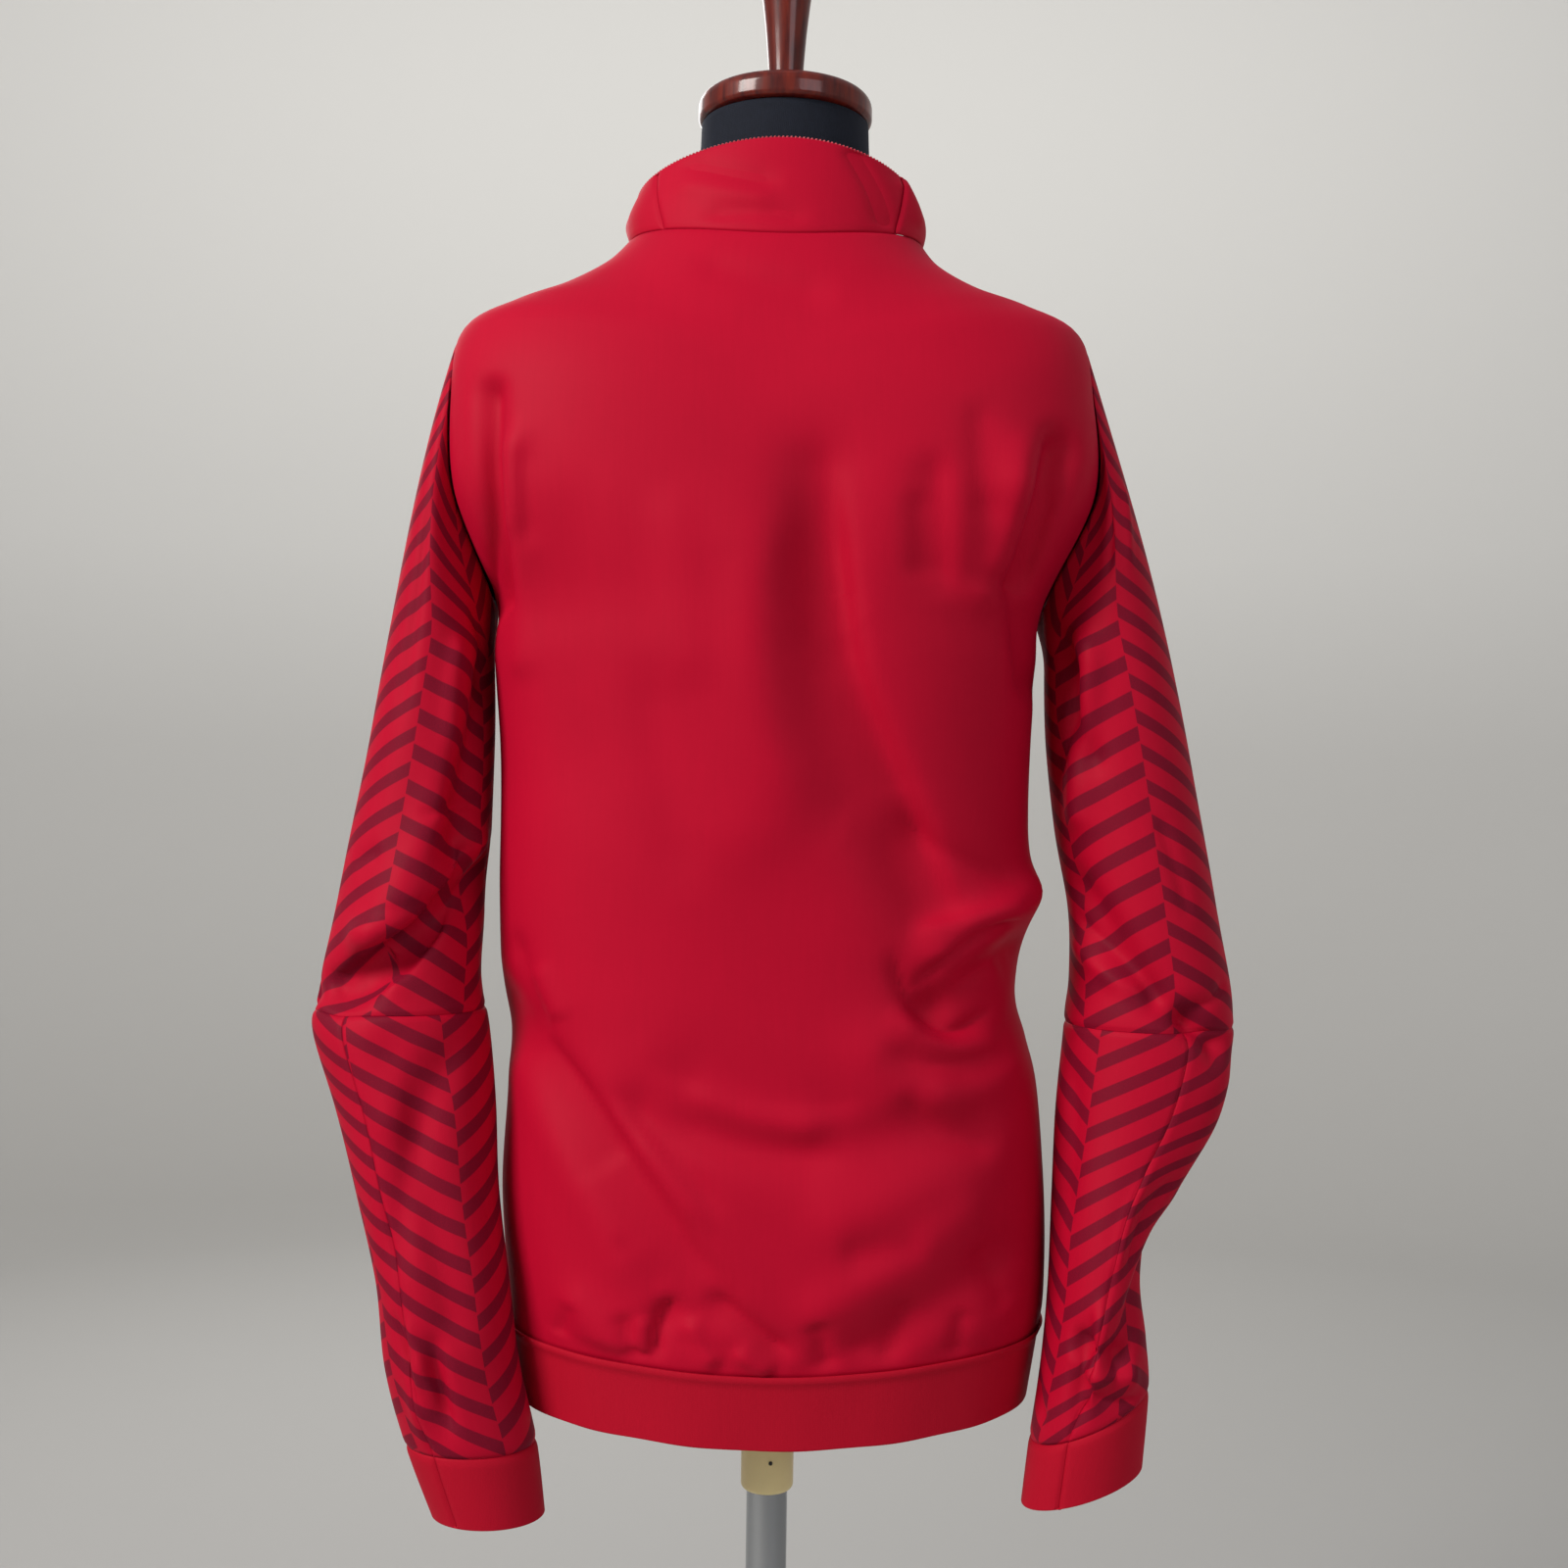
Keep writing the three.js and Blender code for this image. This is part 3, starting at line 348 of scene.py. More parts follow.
def drape_shift(drapes, across, up):
    """Folds with a long side and a steep one, each side with its own width."""
    shift = np.zeros_like(across)
    for left_width, right_width, depth, corners in drapes:
        away, place = along_curve(corners, across, up)
        width = np.where(away > 0, left_width, right_width)
        shift += depth * taper(place) * np.exp(-((away / width) ** 2))
    return shift


def normal_of(surface, a, b, sign):
    """The direction square to a surface of two numbers, from points a little way off."""
    step = 0.01
    da = surface(a + step, b) - surface(a - step, b)
    db = surface(a, b + step) - surface(a, b - step)
    normal = np.cross(da, db)
    return sign * normal / np.linalg.norm(normal, axis=-1, keepdims=True)


def smooth_body(angle, level):
    return ring_point(body_ring(level), angle)


def facing(point):
    """How far a point belongs to the back and to the front, from 0 to 1."""
    return {"back": smooth((point[..., 1] + 4) / 40), "front": smooth((4 - point[..., 1]) / 40)}


body_folds = [dict(zip(FOLD, row)) for row in BODY_FOLDS]


def body_relief(point, level):
    """The folds' shift on the body, which fades out at the hem seam and the shoulders."""
    fade = smooth((level - HEM_SEAM) / 0.7) * smooth((SHOULDER_TIP + 0.4 - level) / 1.2)
    share = facing(point)
    shift = fold_shift(body_folds, point[..., 0], point[..., 2] - MID_BACK, lambda f: share[f["face"]])
    return fade * shift


def body_crease_relief(point, level):
    """The same for the finer creases and drapes, which fade out at the hem and neck seams."""
    share = facing(point)
    across, up = point[..., 0], point[..., 2] - MID_BACK
    back = crease_shift(BACK_CREASES, across, up) + drape_shift(BACK_DRAPES, across, up)
    shift = share["back"] * back + share["front"] * crease_shift(FRONT_CREASES, across, up)
    return smooth((level - HEM_SEAM) / 0.16) * smooth((NECK_SEAM - level) / 0.8) * shift


def body_surface(angle, level):
    point = smooth_body(angle, level)
    normal = normal_of(smooth_body, angle, level, 1)
    return point + normal * body_relief(point, level)[..., None]


def collar_surface(angle, height):
    """The collar from the neck seam, height 0, to its top edge, height 1."""
    low = ring_point(body_ring(np.float64(NECK_SEAM)), angle)
    high = ring_point(COLLAR_TOP, angle)
    bulge = COLLAR_LEAN * np.sin(np.pi * height) * (1 - np.maximum(0, np.sin(angle)))
    out = np.stack([np.cos(angle), np.sin(angle), 0 * angle], -1)
    return low + (high - low) * height[..., None] + out * bulge[..., None]


print("folds:", len(BODY_FOLDS), "creases:", len(BACK_CREASES) + len(FRONT_CREASES))

# %% [markdown]
# Sleeves
#
# A sleeve is a tube too. It leaves the armhole on a curve and then follows its rings, which
# bend at the elbow as they do in the photograph.

# %% Sleeve tables
SLEEVE = ("z", "outer", "inner", "middle", "half_depth", "raise", "seam")
LEFT_SLEEVE = [
    (72, 237.5, 173.5, 6, 56, 0, 60),
    (24, 245.5, 172, 8, 56, 0, 60),
    (-24, 254, 172.5, 12, 55, 0, 60),
    (-72, 261.5, 174, 18, 53, 0, 60),
    (-108, 268.5, 175.5, 23, 51, 0, 60),
    (-126, 272.5, 174, 26, 50, 0, 60),
    (-148, 273, 169, 30, 50, 0, 60),
    (-192, 257, 163.5, 38, 47, 0, 62),
    (-240, 242, 159.5, 48, 43, 0, 62),
    (-288, 227.5, 151.5, 59, 40, 0, 62),
    (-336, 220.5, 144, 65, 36, 0, 62),
    (-379, 208, 133, 68, 32, 0, 64),
    (-420.5, 192, 127.5, 68, 28, 0, 64),
]
RIGHT_SLEEVE = [
    (72, 238.5, 163, 6, 56, 0, 70),
    (24, 248.5, 164, 8, 56, 0, 70),
    (-24, 257, 169, 12, 55, 0, 70),
    (-72, 264.5, 177, 18, 53, 0, 70),
    (-112, 272, 177, 23, 51, 0, 70),
    (-132, 273.5, 174.5, 26, 50, 0, 71),
    (-150, 272.5, 173, 28, 49, 0, 72),
    (-192, 261, 168.5, 33, 47, 2, 76),
    (-240, 231.5, 166, 40, 45, 4, 84),
    (-288, 216.5, 163.5, 47, 44, 7, 90),
    (-327, 218.5, 159, 53, 40, 11, 104),
    (-362, 220.5, 152.5, 56, 34, 16, 120),
    (-404, 217.5, 148, 56, 29, 12, 130),
]
ELBOW_SEAM, CUFF_SEAM, CUFF_END = 5.5, 11, 12
# A sleeve's folds and creases have degrees round the sleeve where the body's have x.
LEFT_FOLDS = [
    (160, 60, 128, -30, 13, -7),
    (130, 70, 112, -20, 13, 4),
    (140, -42, 98, -98, 14, -9),
    (98, -98, 52, -120, 12, -8),
    (120, -26, 76, -84, 15, 6),
    (128, -86, 96, -114, 12, 5),
    (36, -120, 0, -132, 9, -4),
    (98, -160, 104, -300, 16, -5),
    (70, -330, 60, -368, 9, 4),
    (88, -318, 84, -366, 8, -4),
    (300, -90, 250, -130, 14, -7),
    (290, -150, 260, -240, 15, -4),
    (240, 50, 280, -30, 16, -5),
]
RIGHT_FOLDS = [
    (150, 84, 128, 20, 11, -8),
    (122, 80, 140, -14, 11, 6),
    (150, -60, 104, -112, 12, -6),
    (72, -132, 48, -148, 9, -9),
    (96, -122, 72, -134, 9, -6),
    (40, -172, 30, -230, 18, 5),
    (20, -262, 72, -322, 12, -6),
    (96, -300, 104, -340, 10, 5),
    (60, -330, 44, -366, 10, 4),
    (120, -316, 112, -362, 9, -5),
    (300, -90, 250, -136, 14, -7),
    (286, -150, 262, -240, 15, -4),
    (240, 50, 280, -30, 16, -5),
]
LEFT_CREASES = [
    (9, 11, 8.5, 2, [(178, -28), (132, -51), (104, -71), (76, -89), (48, -101)]),
    (5, 6, -3, 1.4, [(132, -60), (102, -70), (58, -85)]),
    (5, 5, -3, 1.4, [(164, -12), (122, -17), (95, -21)]),
    (10, 12, -4, 2, [(149, -143), (114, -178), (89, -221), (52, -292)]),
    (10, 10, 2.6, 2, [(115, -140), (91, -178), (76, -211)]),
    (5, 5, -3.4, 1.3, [(50, -297), (64, -329), (71, -355)]),
    (5, 5, 2.4, 1.6, [(66, -296), (75, -327), (83, -355)]),
    (4, 5, -2.6, 1.3, [(86, -316), (88, -343), (89, -366)]),
    (5, 5, -3, 1.4, [(134, 104), (156, 82), (170, 48)]),
    (6, 8, -2, 2, [(78, 171), (77, 102), (68, 23)]),
    (6, 6, 2, 2, [(127, 92), (119, 57), (119, 12)]),
    (4, 4, -2.4, 1.3, [(46, -113), (39, -124)]),
    (5, 6, -2.2, 1.5, [(74, -40), (44, -51)]),
    (5, 5, -2.86, 1.6, [(290, -96), (256, -126)]),
    (6, 6, 1.82, 1.6, [(310, -60), (270, -84)]),
]
LEFT_DRAPES = [
    (22, 6, -12, [(200, -36), (140, -66), (112, -85), (83, -102), (58, -114), (24, -124)]),
]
RIGHT_CREASES = [
    (6, 7, -4.5, 1.4, [(130, 86), (140, 46), (164, 0)]),
    (7, 7, 3, 1.8, [(113, 91), (123, 45), (138, 6)]),
    (5, 6, -3.4, 1.4, [(174, -70), (124, -97), (87, -127)]),
    (6, 6, 3, 1.8, [(179, -86), (132, -108), (97, -123)]),
    (4, 5, -3, 1.3, [(73, -129), (51, -120), (31, -112)]),
    (6, 7, -3, 1.5, [(60, 218), (87, 171), (105, 114)]),
    (6, 6, 2, 2, [(49, 184), (77, 125)]),
    (5, 5, -3.4, 1.3, [(135, -306), (99, -316), (48, -316)]),
    (5, 5, 3, 1.6, [(140, -321), (103, -330), (49, -332)]),
    (5, 5, -3.4, 1.3, [(119, -331), (85, -344), (40, -346)]),
    (5, 5, -3, 1.3, [(107, -293), (114, -329), (102, -358)]),
    (5, 6, -2.6, 1.4, [(41, -220), (62, -239), (67, -277)]),
    (6, 7, 2.4, 1.8, [(75, -212), (83, -244), (85, -281)]),
    (10, 12, -3, 2, [(159, -150), (150, -204), (155, -260)]),
    (5, 5, -2.6, 1.4, [(189, -345), (148, -364)]),
    (6, 6, -2, 1.6, [(79, -11), (71, -45), (66, -79)]),
    (5, 5, -2.86, 1.6, [(290, -98), (256, -130)]),
    (6, 6, 1.82, 1.6, [(306, -62), (268, -88)]),
]
SLEEVE_RADIUS = 50  # turns degrees round a sleeve into millimetres
SLEEVE_LEAVE = {"out": 0.18, "out_at_tip": 0.11, "back": 0.2, "down": 0.95}
LEAVE_SHARE = 0.36
UNDERARM_SEAM = math.radians(196)
armhole_middle = (ARMPIT + SHOULDER_TIP) / 2
armhole_reach = (SHOULDER_TIP - ARMPIT) / 2


def around(degrees):
    """Degrees round a sleeve as millimetres."""
    return math.radians(degrees) * SLEEVE_RADIUS


def sleeve_folds(rows):
    return [dict(x0=around(angle0), z0=z0, x1=around(angle1), z1=z1, width=width, depth=depth)
            for angle0, z0, angle1, z1, width, depth in rows]


def sleeve_creases(rows):
    return [(*looks, [(around(angle), z) for angle, z in corners]) for *looks, corners in rows]


SLEEVES = {
    "left": dict(side=1, rows=LEFT_SLEEVE, folds=LEFT_FOLDS, creases=LEFT_CREASES, drapes=LEFT_DRAPES),
    "right": dict(side=-1, rows=RIGHT_SLEEVE, folds=RIGHT_FOLDS, creases=RIGHT_CREASES, drapes=[]),
}
for sleeve in SLEEVES.values():
    sleeve["folds"] = sleeve_folds(sleeve["folds"])
    sleeve["creases"] = sleeve_creases(sleeve["creases"])
    sleeve["drapes"] = sleeve_creases(sleeve["drapes"])


def armhole_share(level):
    """The depth of the armhole at a level, as a share of its greatest depth."""
    across = (level - armhole_middle) / armhole_reach
    return np.sqrt(np.maximum(0, 1 - across * across))


def seam_shift(level, side):
    """How far the shoulder seam lies behind the shoulder's ridge."""
    grown = smooth((level - SHOULDER_TIP + 0.6) / 1.2)
    return SHOULDER_SEAM_BACK[side] * grown * smooth((NECK_SEAM + 0.5 - level) / 2)


SEAM_EDGE = 0.03  # the panels meet more closely here than the solids do


def seam_depth(level, side, back):
    """The depth of a panel's outer edge: side seam, armhole, then shoulder seam."""
    away = ARMHOLE_DEPTH * armhole_share(level) + SEAM_EDGE
    return body_ring(level)["side_y"] + seam_shift(level, side) + (away if back else -away)


def sleeve_ring(sleeve, angle, index):
    row = dict(zip(SLEEVE, row_at(sleeve["rows"], index)))
    half = (row["outer"] - row["inner"]) / 2
    x = (row["outer"] + row["inner"]) / 2 + half * np.cos(angle)
    y = row["middle"] + row["half_depth"] * np.sin(angle)
    z = MID_BACK + row["z"] + row["raise"] * np.cos(angle)
    return np.stack([sleeve["side"] * x, y, z], -1)


def armhole_point(side, angle):
    """The point of the armhole's edge for an angle round the sleeve."""
    level = armhole_middle + armhole_reach * np.cos(angle) * 0.999
    ring = body_ring(level)
    y = ring["side_y"] + seam_shift(level, side) + (ARMHOLE_DEPTH - SEAM_EDGE) * np.sin(angle)
    return body_surface(angle_at_depth(ring, y, side), level)


def unit(vectors):
    return vectors / np.linalg.norm(vectors, axis=-1, keepdims=True)


def smooth_sleeve(sleeve, angle, along):
    """The sleeve without folds: 0 to 1 leaves the armhole, then come its rings."""
    side = sleeve["side"]
    start = armhole_point(side, angle)
    end = sleeve_ring(sleeve, angle, 0 * angle)
    after = sleeve_ring(sleeve, angle, 0 * angle + 1)
    reach = LEAVE_SHARE * np.linalg.norm(end - start, axis=-1, keepdims=True)
    out = side * (SLEEVE_LEAVE["out"] + SLEEVE_LEAVE["out_at_tip"] * np.cos(angle))
    back = SLEEVE_LEAVE["back"] * np.sin(angle)
    leave = unit(np.stack([out, back, 0 * angle - SLEEVE_LEAVE["down"]], -1))
    arrive = unit(end - after)
    t = np.clip(along, 0, 1)[..., None]
    first, second = start + leave * reach, end + arrive * reach
    curve = (1 - t) ** 3 * start + 3 * (1 - t) ** 2 * t * first + 3 * (1 - t) * t**2 * second + t**3 * end
    rings = sleeve_ring(sleeve, angle, np.maximum(along - 1, 0))
    return np.where((along >= 1)[..., None], rings, curve)


def sleeve_relief(sleeve, point, angle, along):
    turned = np.mod(angle, 2 * np.pi) * SLEEVE_RADIUS
    fade = smooth((CUFF_SEAM + 1 - along) / 0.8) * smooth((along - 0.1) / 0.7)
    return fade * fold_shift(sleeve["folds"], turned, point[..., 2] - MID_BACK, lambda fold: 1)


def sleeve_crease_relief(sleeve, point, angle, along):
    turned = np.mod(angle, 2 * np.pi) * SLEEVE_RADIUS
    fade = smooth((CUFF_SEAM + 1 - along) / 0.2) * smooth((along - 0.1) / 0.4)
    up = point[..., 2] - MID_BACK
    shift = crease_shift(sleeve["creases"], turned, up) + drape_shift(sleeve["drapes"], turned, up)
    return fade * shift


def sleeve_surface(sleeve):
    def surface(angle, along):
        bare = lambda a, b: smooth_sleeve(sleeve, a, b)
        point = bare(angle, along)
        normal = normal_of(bare, angle, along, -sleeve["side"])
        return point + normal * sleeve_relief(sleeve, point, angle, along)[..., None]

    return surface


def forearm_seam(sleeve, along):
    """The angle of the seam between the outer and the inner forearm."""
    row = dict(zip(SLEEVE, row_at(sleeve["rows"], np.maximum(0, along - 1))))
    return np.radians(row["seam"])


print("sleeve rings:", len(LEFT_SLEEVE), "each")

# %% [markdown]
# Materials
#
# One function turns a sRGB hex colour into Blender's linear numbers, and one adds a node with
# its settings and links. Every finish below starts from a Principled shader with the typical
# numbers of the real material, and gets its small-scale surface from procedural textures.

# %% Material helpers
def linear(hex_colour):
    channels = [int(hex_colour[i:i + 2], 16) / 255 for i in (1, 3, 5)]
    curve = lambda c: c / 12.92 if c <= 0.04045 else ((c + 0.055) / 1.055) ** 2.4
    return (*(curve(c) for c in channels), 1.0)


def add_node(tree, kind, inputs=None, **settings):
    """Adds a node. inputs maps its sockets to values, or to another node's output."""
    node = tree.nodes.new("ShaderNode" + kind)
    for name, value in settings.items():
        setattr(node, name, value)
    for socket, value in (inputs or {}).items():
        if isinstance(value, bpy.types.NodeSocket):
            tree.links.new(value, node.inputs[socket])
        else:
            node.inputs[socket].default_value = value
    return node


def new_material(name, base, roughness, **shader):
    """A material with a Principled shader. Its sockets are set by their names."""
    material = bpy.data.materials.new(name)
    material.use_nodes = True
    tree = material.node_tree
    principled = tree.nodes["Principled BSDF"]
    principled.inputs["Base Color"].default_value = linear(base)
    principled.inputs["Roughness"].default_value = roughness
    for socket, value in shader.items():
        principled.inputs[socket.replace("_", " ").title().replace("Ior", "IOR")].default_value = value
    return material, tree, principled


def metres(tree, source):
    """Texture coordinates in metres: the piece's own cut, or its place in the object."""
    if source == "cut":
        return add_node(tree, "UVMap", uv_map="cut").outputs["UV"]
    return add_node(tree, "TexCoord").outputs["Object"]


def math_node(tree, operation, *values, clamp=False):
    return add_node(tree, "Math", dict(enumerate(values)), operation=operation, use_clamp=clamp).outputs[0]


def mottle(tree, where, size, low, high, detail=3):
    """A soft noise of spots of a given size, from one number to another."""
    noise = add_node(tree, "TexNoise", {"Vector": where, "Scale": 1 / size, "Detail": detail})
    spread = {"Value": noise.outputs["Fac"], "From Min": 0.3, "From Max": 0.7, "To Min": low, "To Max": high}
    return add_node(tree, "MapRange", spread).outputs["Result"]


def blended(tree, factor, low, high):
    """One colour where the factor is 0 and another where it is 1."""
    node = add_node(tree, "Mix", {"Factor": factor, 6: low, 7: high}, data_type="RGBA")
    return node.outputs[2]


def shaded(tree, colour, factor):
    """A colour made lighter or darker by a factor round 1."""
    return add_node(tree, "HueSaturation", {"Color": colour, "Value": factor}).outputs["Color"]


def bump(tree, principled, height, depth):
    """Bump from a height of 0 to 1, with its real depth in metres."""
    node = add_node(tree, "Bump", {"Height": height, "Distance": depth, "Strength": 1.0})
    tree.links.new(node.outputs["Normal"], principled.inputs["Normal"])


# %% [markdown]
# Knit
#
# The jacket's cloth is tricot, a warp knit of fine polyester, brushed inside. From outside the
# eye gets a smooth, even red with faint upright wales and a pinkish sheen where it turns away,
# because short filaments catch the light there. The wales are about 0.7 mm apart and hardly
# show in a render, so they are drawn at 1.1 mm. The pattern follows each panel's own cut.

# %% Knit materials
RED = "#B8062B"
SHEEN = "#EE2460"


def wales(tree, cut, spacing):
    """The upright ribs of a knit, 0 in the valleys and 1 on top, with loops along them."""
    parts = add_node(tree, "SeparateXYZ", {"Vector": cut})
    across = math_node(tree, "MULTIPLY", parts.outputs["X"], 2 * math.pi / spacing)
    along = math_node(tree, "MULTIPLY", parts.outputs["Y"], 2 * math.pi / (spacing * 0.8))
    ribs = math_node(tree, "MULTIPLY_ADD", math_node(tree, "SINE", across), 0.36, 0.5)
    return math_node(tree, "MULTIPLY_ADD", math_node(tree, "SINE", along), 0.12, ribs)


def knit(name, base, spacing, depth, sheen=0.17, roughness=0.62):
    """A knit with its sheen, wales and slight unevenness, and the colour node to build on."""
    material, tree, principled = new_material(
        name, base, roughness, sheen_weight=sheen, sheen_roughness=0.35, ior=1.5, specular_ior_level=0.1)
    principled.inputs["Sheen Tint"].default_value = linear(SHEEN)
    cut = metres(tree, "cut")
    cloudy = mottle(tree, cut, 0.09, 0.96, 1.04)
    streaked = add_node(tree, "Mapping", {"Vector": cut, "Scale": (1, 0.06, 1)}).outputs[0]
    fine = mottle(tree, streaked, 0.0022, 0.985, 1.015)
    colour = shaded(tree, linear(base), math_node(tree, "MULTIPLY", cloudy, fine))
    bump(tree, principled, wales(tree, cut, spacing), depth)
    return material, tree, principled, cut, colour


def plain_knit(name, base, spacing=0.0011, depth=0.000008, **looks):
    material, tree, principled, _, colour = knit(name, base, spacing, depth, **looks)
    tree.links.new(colour, principled.inputs["Base Color"])
    return material


body_knit = plain_knit("tricot_brushed_red", RED)
# The bands are the same yarn knitted double, firmer and a little duller.
band_knit = plain_knit("double_knit_red", "#B40D28", 0.0014, 0.00003, sheen=0.12, roughness=0.68)

# %% [markdown]
# The sleeves' print
#
# The sleeves are printed tone on tone, in bars of a darker wine red. Here they carry a plain
# herringbone, the oldest way of setting bars: upright columns in which the bars lean one way
# and then the other. The ink sinks into the knit, so it darkens the colour and leaves the
# surface as it is.

# %% Printed knit
COLUMN = 0.058  # width of one column of bars, in metres
BAR_PITCH = 0.0205
BAR_SHARE = 0.42  # the dark share of the pitch
BAR_SLOPE = 0.52  # rise of a bar for each metre across
INK = "#760A26"


def herringbone(tree, cut):
    """1 on a printed bar and 0 between bars, with soft edges."""
    parts = add_node(tree, "SeparateXYZ", {"Vector": cut})
    column = math_node(tree, "FLOOR", math_node(tree, "DIVIDE", parts.outputs["X"], COLUMN))
    odd = math_node(tree, "FLOORED_MODULO", column, 2.0)
    folded = math_node(tree, "PINGPONG", parts.outputs["X"], COLUMN)
    rising = math_node(tree, "MULTIPLY_ADD", folded, BAR_SLOPE, parts.outputs["Y"])
    shifted = math_node(tree, "MULTIPLY_ADD", odd, BAR_PITCH / 2, rising)
    phase = math_node(tree, "FRACT", math_node(tree, "DIVIDE", shifted, BAR_PITCH))
    centred = math_node(tree, "ABSOLUTE", math_node(tree, "SUBTRACT", phase, 0.5))
    edge = {"Value": centred, "From Min": BAR_SHARE / 2 - 0.02, "From Max": BAR_SHARE / 2 + 0.02,
            "To Min": 1.0, "To Max": 0.0}
    return add_node(tree, "MapRange", edge, interpolation_type="SMOOTHSTEP").outputs["Result"]


def make_printed_knit():
    material, tree, principled, cut, colour = knit("tricot_printed_red", RED, 0.0011, 0.000008)
    worn = mottle(tree, cut, 0.0009, 0.86, 1.0, detail=2)
    ink = math_node(tree, "MULTIPLY", herringbone(tree, cut), worn)
    tree.links.new(blended(tree, ink, colour, linear(INK)), principled.inputs["Base Color"])
    return material


printed_knit = make_printed_knit()
print("knits:", body_knit.name, band_knit.name, printed_knit.name)

# %% [markdown]
# Shells of cloth
#
# Every panel starts as a flat grid from bmesh, as cut cloth does, and each point of the grid
# then goes to its place on the garment. Its cut size is kept in a map in metres, which the knit
# and the print follow. Along its edges the cloth dips into the seam. Solidify gives it the
# thickness of the knit, inwards.

# %% Panel builder
CLOTH = 1.1  # thickness of one layer, in millimetres
UNEVEN_WAVES = [(71, 33, 0.5, 0.28), (43, 67, 1.9, 0.18), (37, -59, 4.1, 0.14), (17, 29, 2.6, 0.07)]


def uneven(x, y):
    """Cloth is never quite smooth: a few long slanted waves, added up, in millimetres."""
    total = 0 * x
    for wave_x, wave_y, phase, height in UNEVEN_WAVES:
        total = total + height * np.sin(x / wave_x + y / wave_y + phase) * np.sin(y / 31 - x / 53 + phase)
    return total


def lengths(points, axis):
    """The distance along a grid's rows or columns, from its first point."""
    steps = np.linalg.norm(np.diff(points, axis=axis), axis=-1)
    start = np.zeros_like(np.take(steps, [0], axis=axis))
    return np.concatenate([start, np.cumsum(steps, axis=axis)], axis=axis)


def grid_normals(points, sign):
    normal = np.cross(np.gradient(points, axis=1), np.gradient(points, axis=0))
    return sign * normal / np.maximum(np.linalg.norm(normal, axis=-1, keepdims=True), 1e-9)


def dip_at(away, sewn):
    """How far cloth sinks at a distance from a seam, for a dip's depth and width."""
    depth, width = sewn
    return depth * np.exp(-((away / width) ** 2))


def seam_dip(points, edges):
    """How far a panel sinks towards its sewn edges, named left, right, low and high."""
    across, up = lengths(points, 1), lengths(points, 0)
    away = {"left": across, "right": across[:, -1:] - across, "low": up, "high": up[-1:] - up}
    dip = 0 * across
    for edge, sewn in edges.items():
        dip = np.maximum(dip, dip_at(away[edge], sewn))
    return dip


def grid_object(name, points, material, thickness=CLOTH, from_row=None, bare=None):
    """A mesh from a bmesh grid whose points are moved to their places, with its cut as a map.
    The map is measured on the bare surface without folds. Its height runs up the middle column,
    or up each column from a given row."""
    rows, columns = points.shape[0] - 1, points.shape[1] - 1
    bm = bmesh.new()
    bm.loops.layers.uv.new("cut")
    bmesh.ops.create_grid(bm, x_segments=columns, y_segments=rows, size=0.5, calc_uvs=True)
    mesh = bpy.data.meshes.new(name)
    bm.to_mesh(mesh)
    bm.free()
    flat = np.empty(3 * len(mesh.vertices))
    mesh.vertices.foreach_get("co", flat)
    column = np.rint((flat[0::3] + 0.5) * columns).astype(int)
    row = np.rint((flat[1::3] + 0.5) * rows).astype(int)
    mesh.vertices.foreach_set("co", (points[row, column] * MM).ravel())
    middle = columns // 2
    bare = points if bare is None else bare
    across = lengths(bare, 1)
    across = across - across[:, middle:middle + 1]
    up = lengths(bare, 0)
    if from_row is None:
        up = np.repeat(up[:, middle:middle + 1], columns + 1, axis=1)
    else:
        up = up - up[from_row]
    corners = np.empty(len(mesh.loops), dtype=int)
    mesh.loops.foreach_get("vertex_index", corners)
    cut = np.stack([across[row, column][corners], up[row, column][corners]], -1) * MM
    mesh.uv_layers["cut"].data.foreach_set("uv", cut.ravel())
    mesh.polygons.foreach_set("use_smooth", np.full(len(mesh.polygons), True))
    mesh.update()
    mesh.materials.append(material)
    piece = add_object(name, mesh)
    if thickness:
        wall = piece.modifiers.new("wall", "SOLIDIFY")
        wall.thickness = thickness * MM
        wall.offset = -1
    return piece


def face_out(piece, towards):
    """Turns a grid's faces so that its middle face looks along a direction."""
    mesh = piece.data
    middle = mesh.polygons[len(mesh.polygons) // 2]
    if middle.normal.dot(Vector(towards)) < 0:
        mesh.flip_normals()
        print("turned", piece.name)


def cut_size(points):
    """The flat size of a panel and its area, from its middle row and column."""
    across, up = lengths(points, 1)[:, -1], lengths(points, 0)[-1, :]
    du, dv = np.diff(points, axis=1)[:-1], np.diff(points, axis=0)[:, :-1]
    area = np.linalg.norm(np.cross(du, dv), axis=-1).sum()
    return across.max() * MM, up.max() * MM, area * MM * MM


def dress(piece, points, nodes):
    """Attaches a shell of cloth to the root, hides the solids it stands for, and prints what it was cut to.
    """
    wide, tall, area = cut_size(points)
    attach(piece, "root")
    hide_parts(*nodes)
    print(piece.name, "cut", round(wide * 1000), "x", round(tall * 1000), "mm")


# %% [markdown]
# Back and fronts
#
# The back is one panel. The fronts reach over the shoulders to a seam that lies just behind the
# ridge. The rows of a panel crowd together where the armhole begins and ends, because its edge
# turns quickly there, and the columns crowd together at the seams.

# %% Body panels
def panel_levels(low_rows, arm_rows, top_rows):
    """The levels of a panel's rows: a little closer at the hem, then as the armhole turns."""
    low = HEM_SEAM + (ARMPIT - HEM_SEAM) * np.linspace(0, 1, low_rows + 1) ** 1.08
    turn = np.linspace(0, np.pi, arm_rows + 1)[2:]
    arm = armhole_middle - armhole_reach * np.cos(turn)
    top = SHOULDER_TIP + (NECK_SEAM - SHOULDER_TIP) * np.sin(np.linspace(0, np.pi / 2, top_rows + 1)[1:])
    return np.concatenate([low, arm, top])


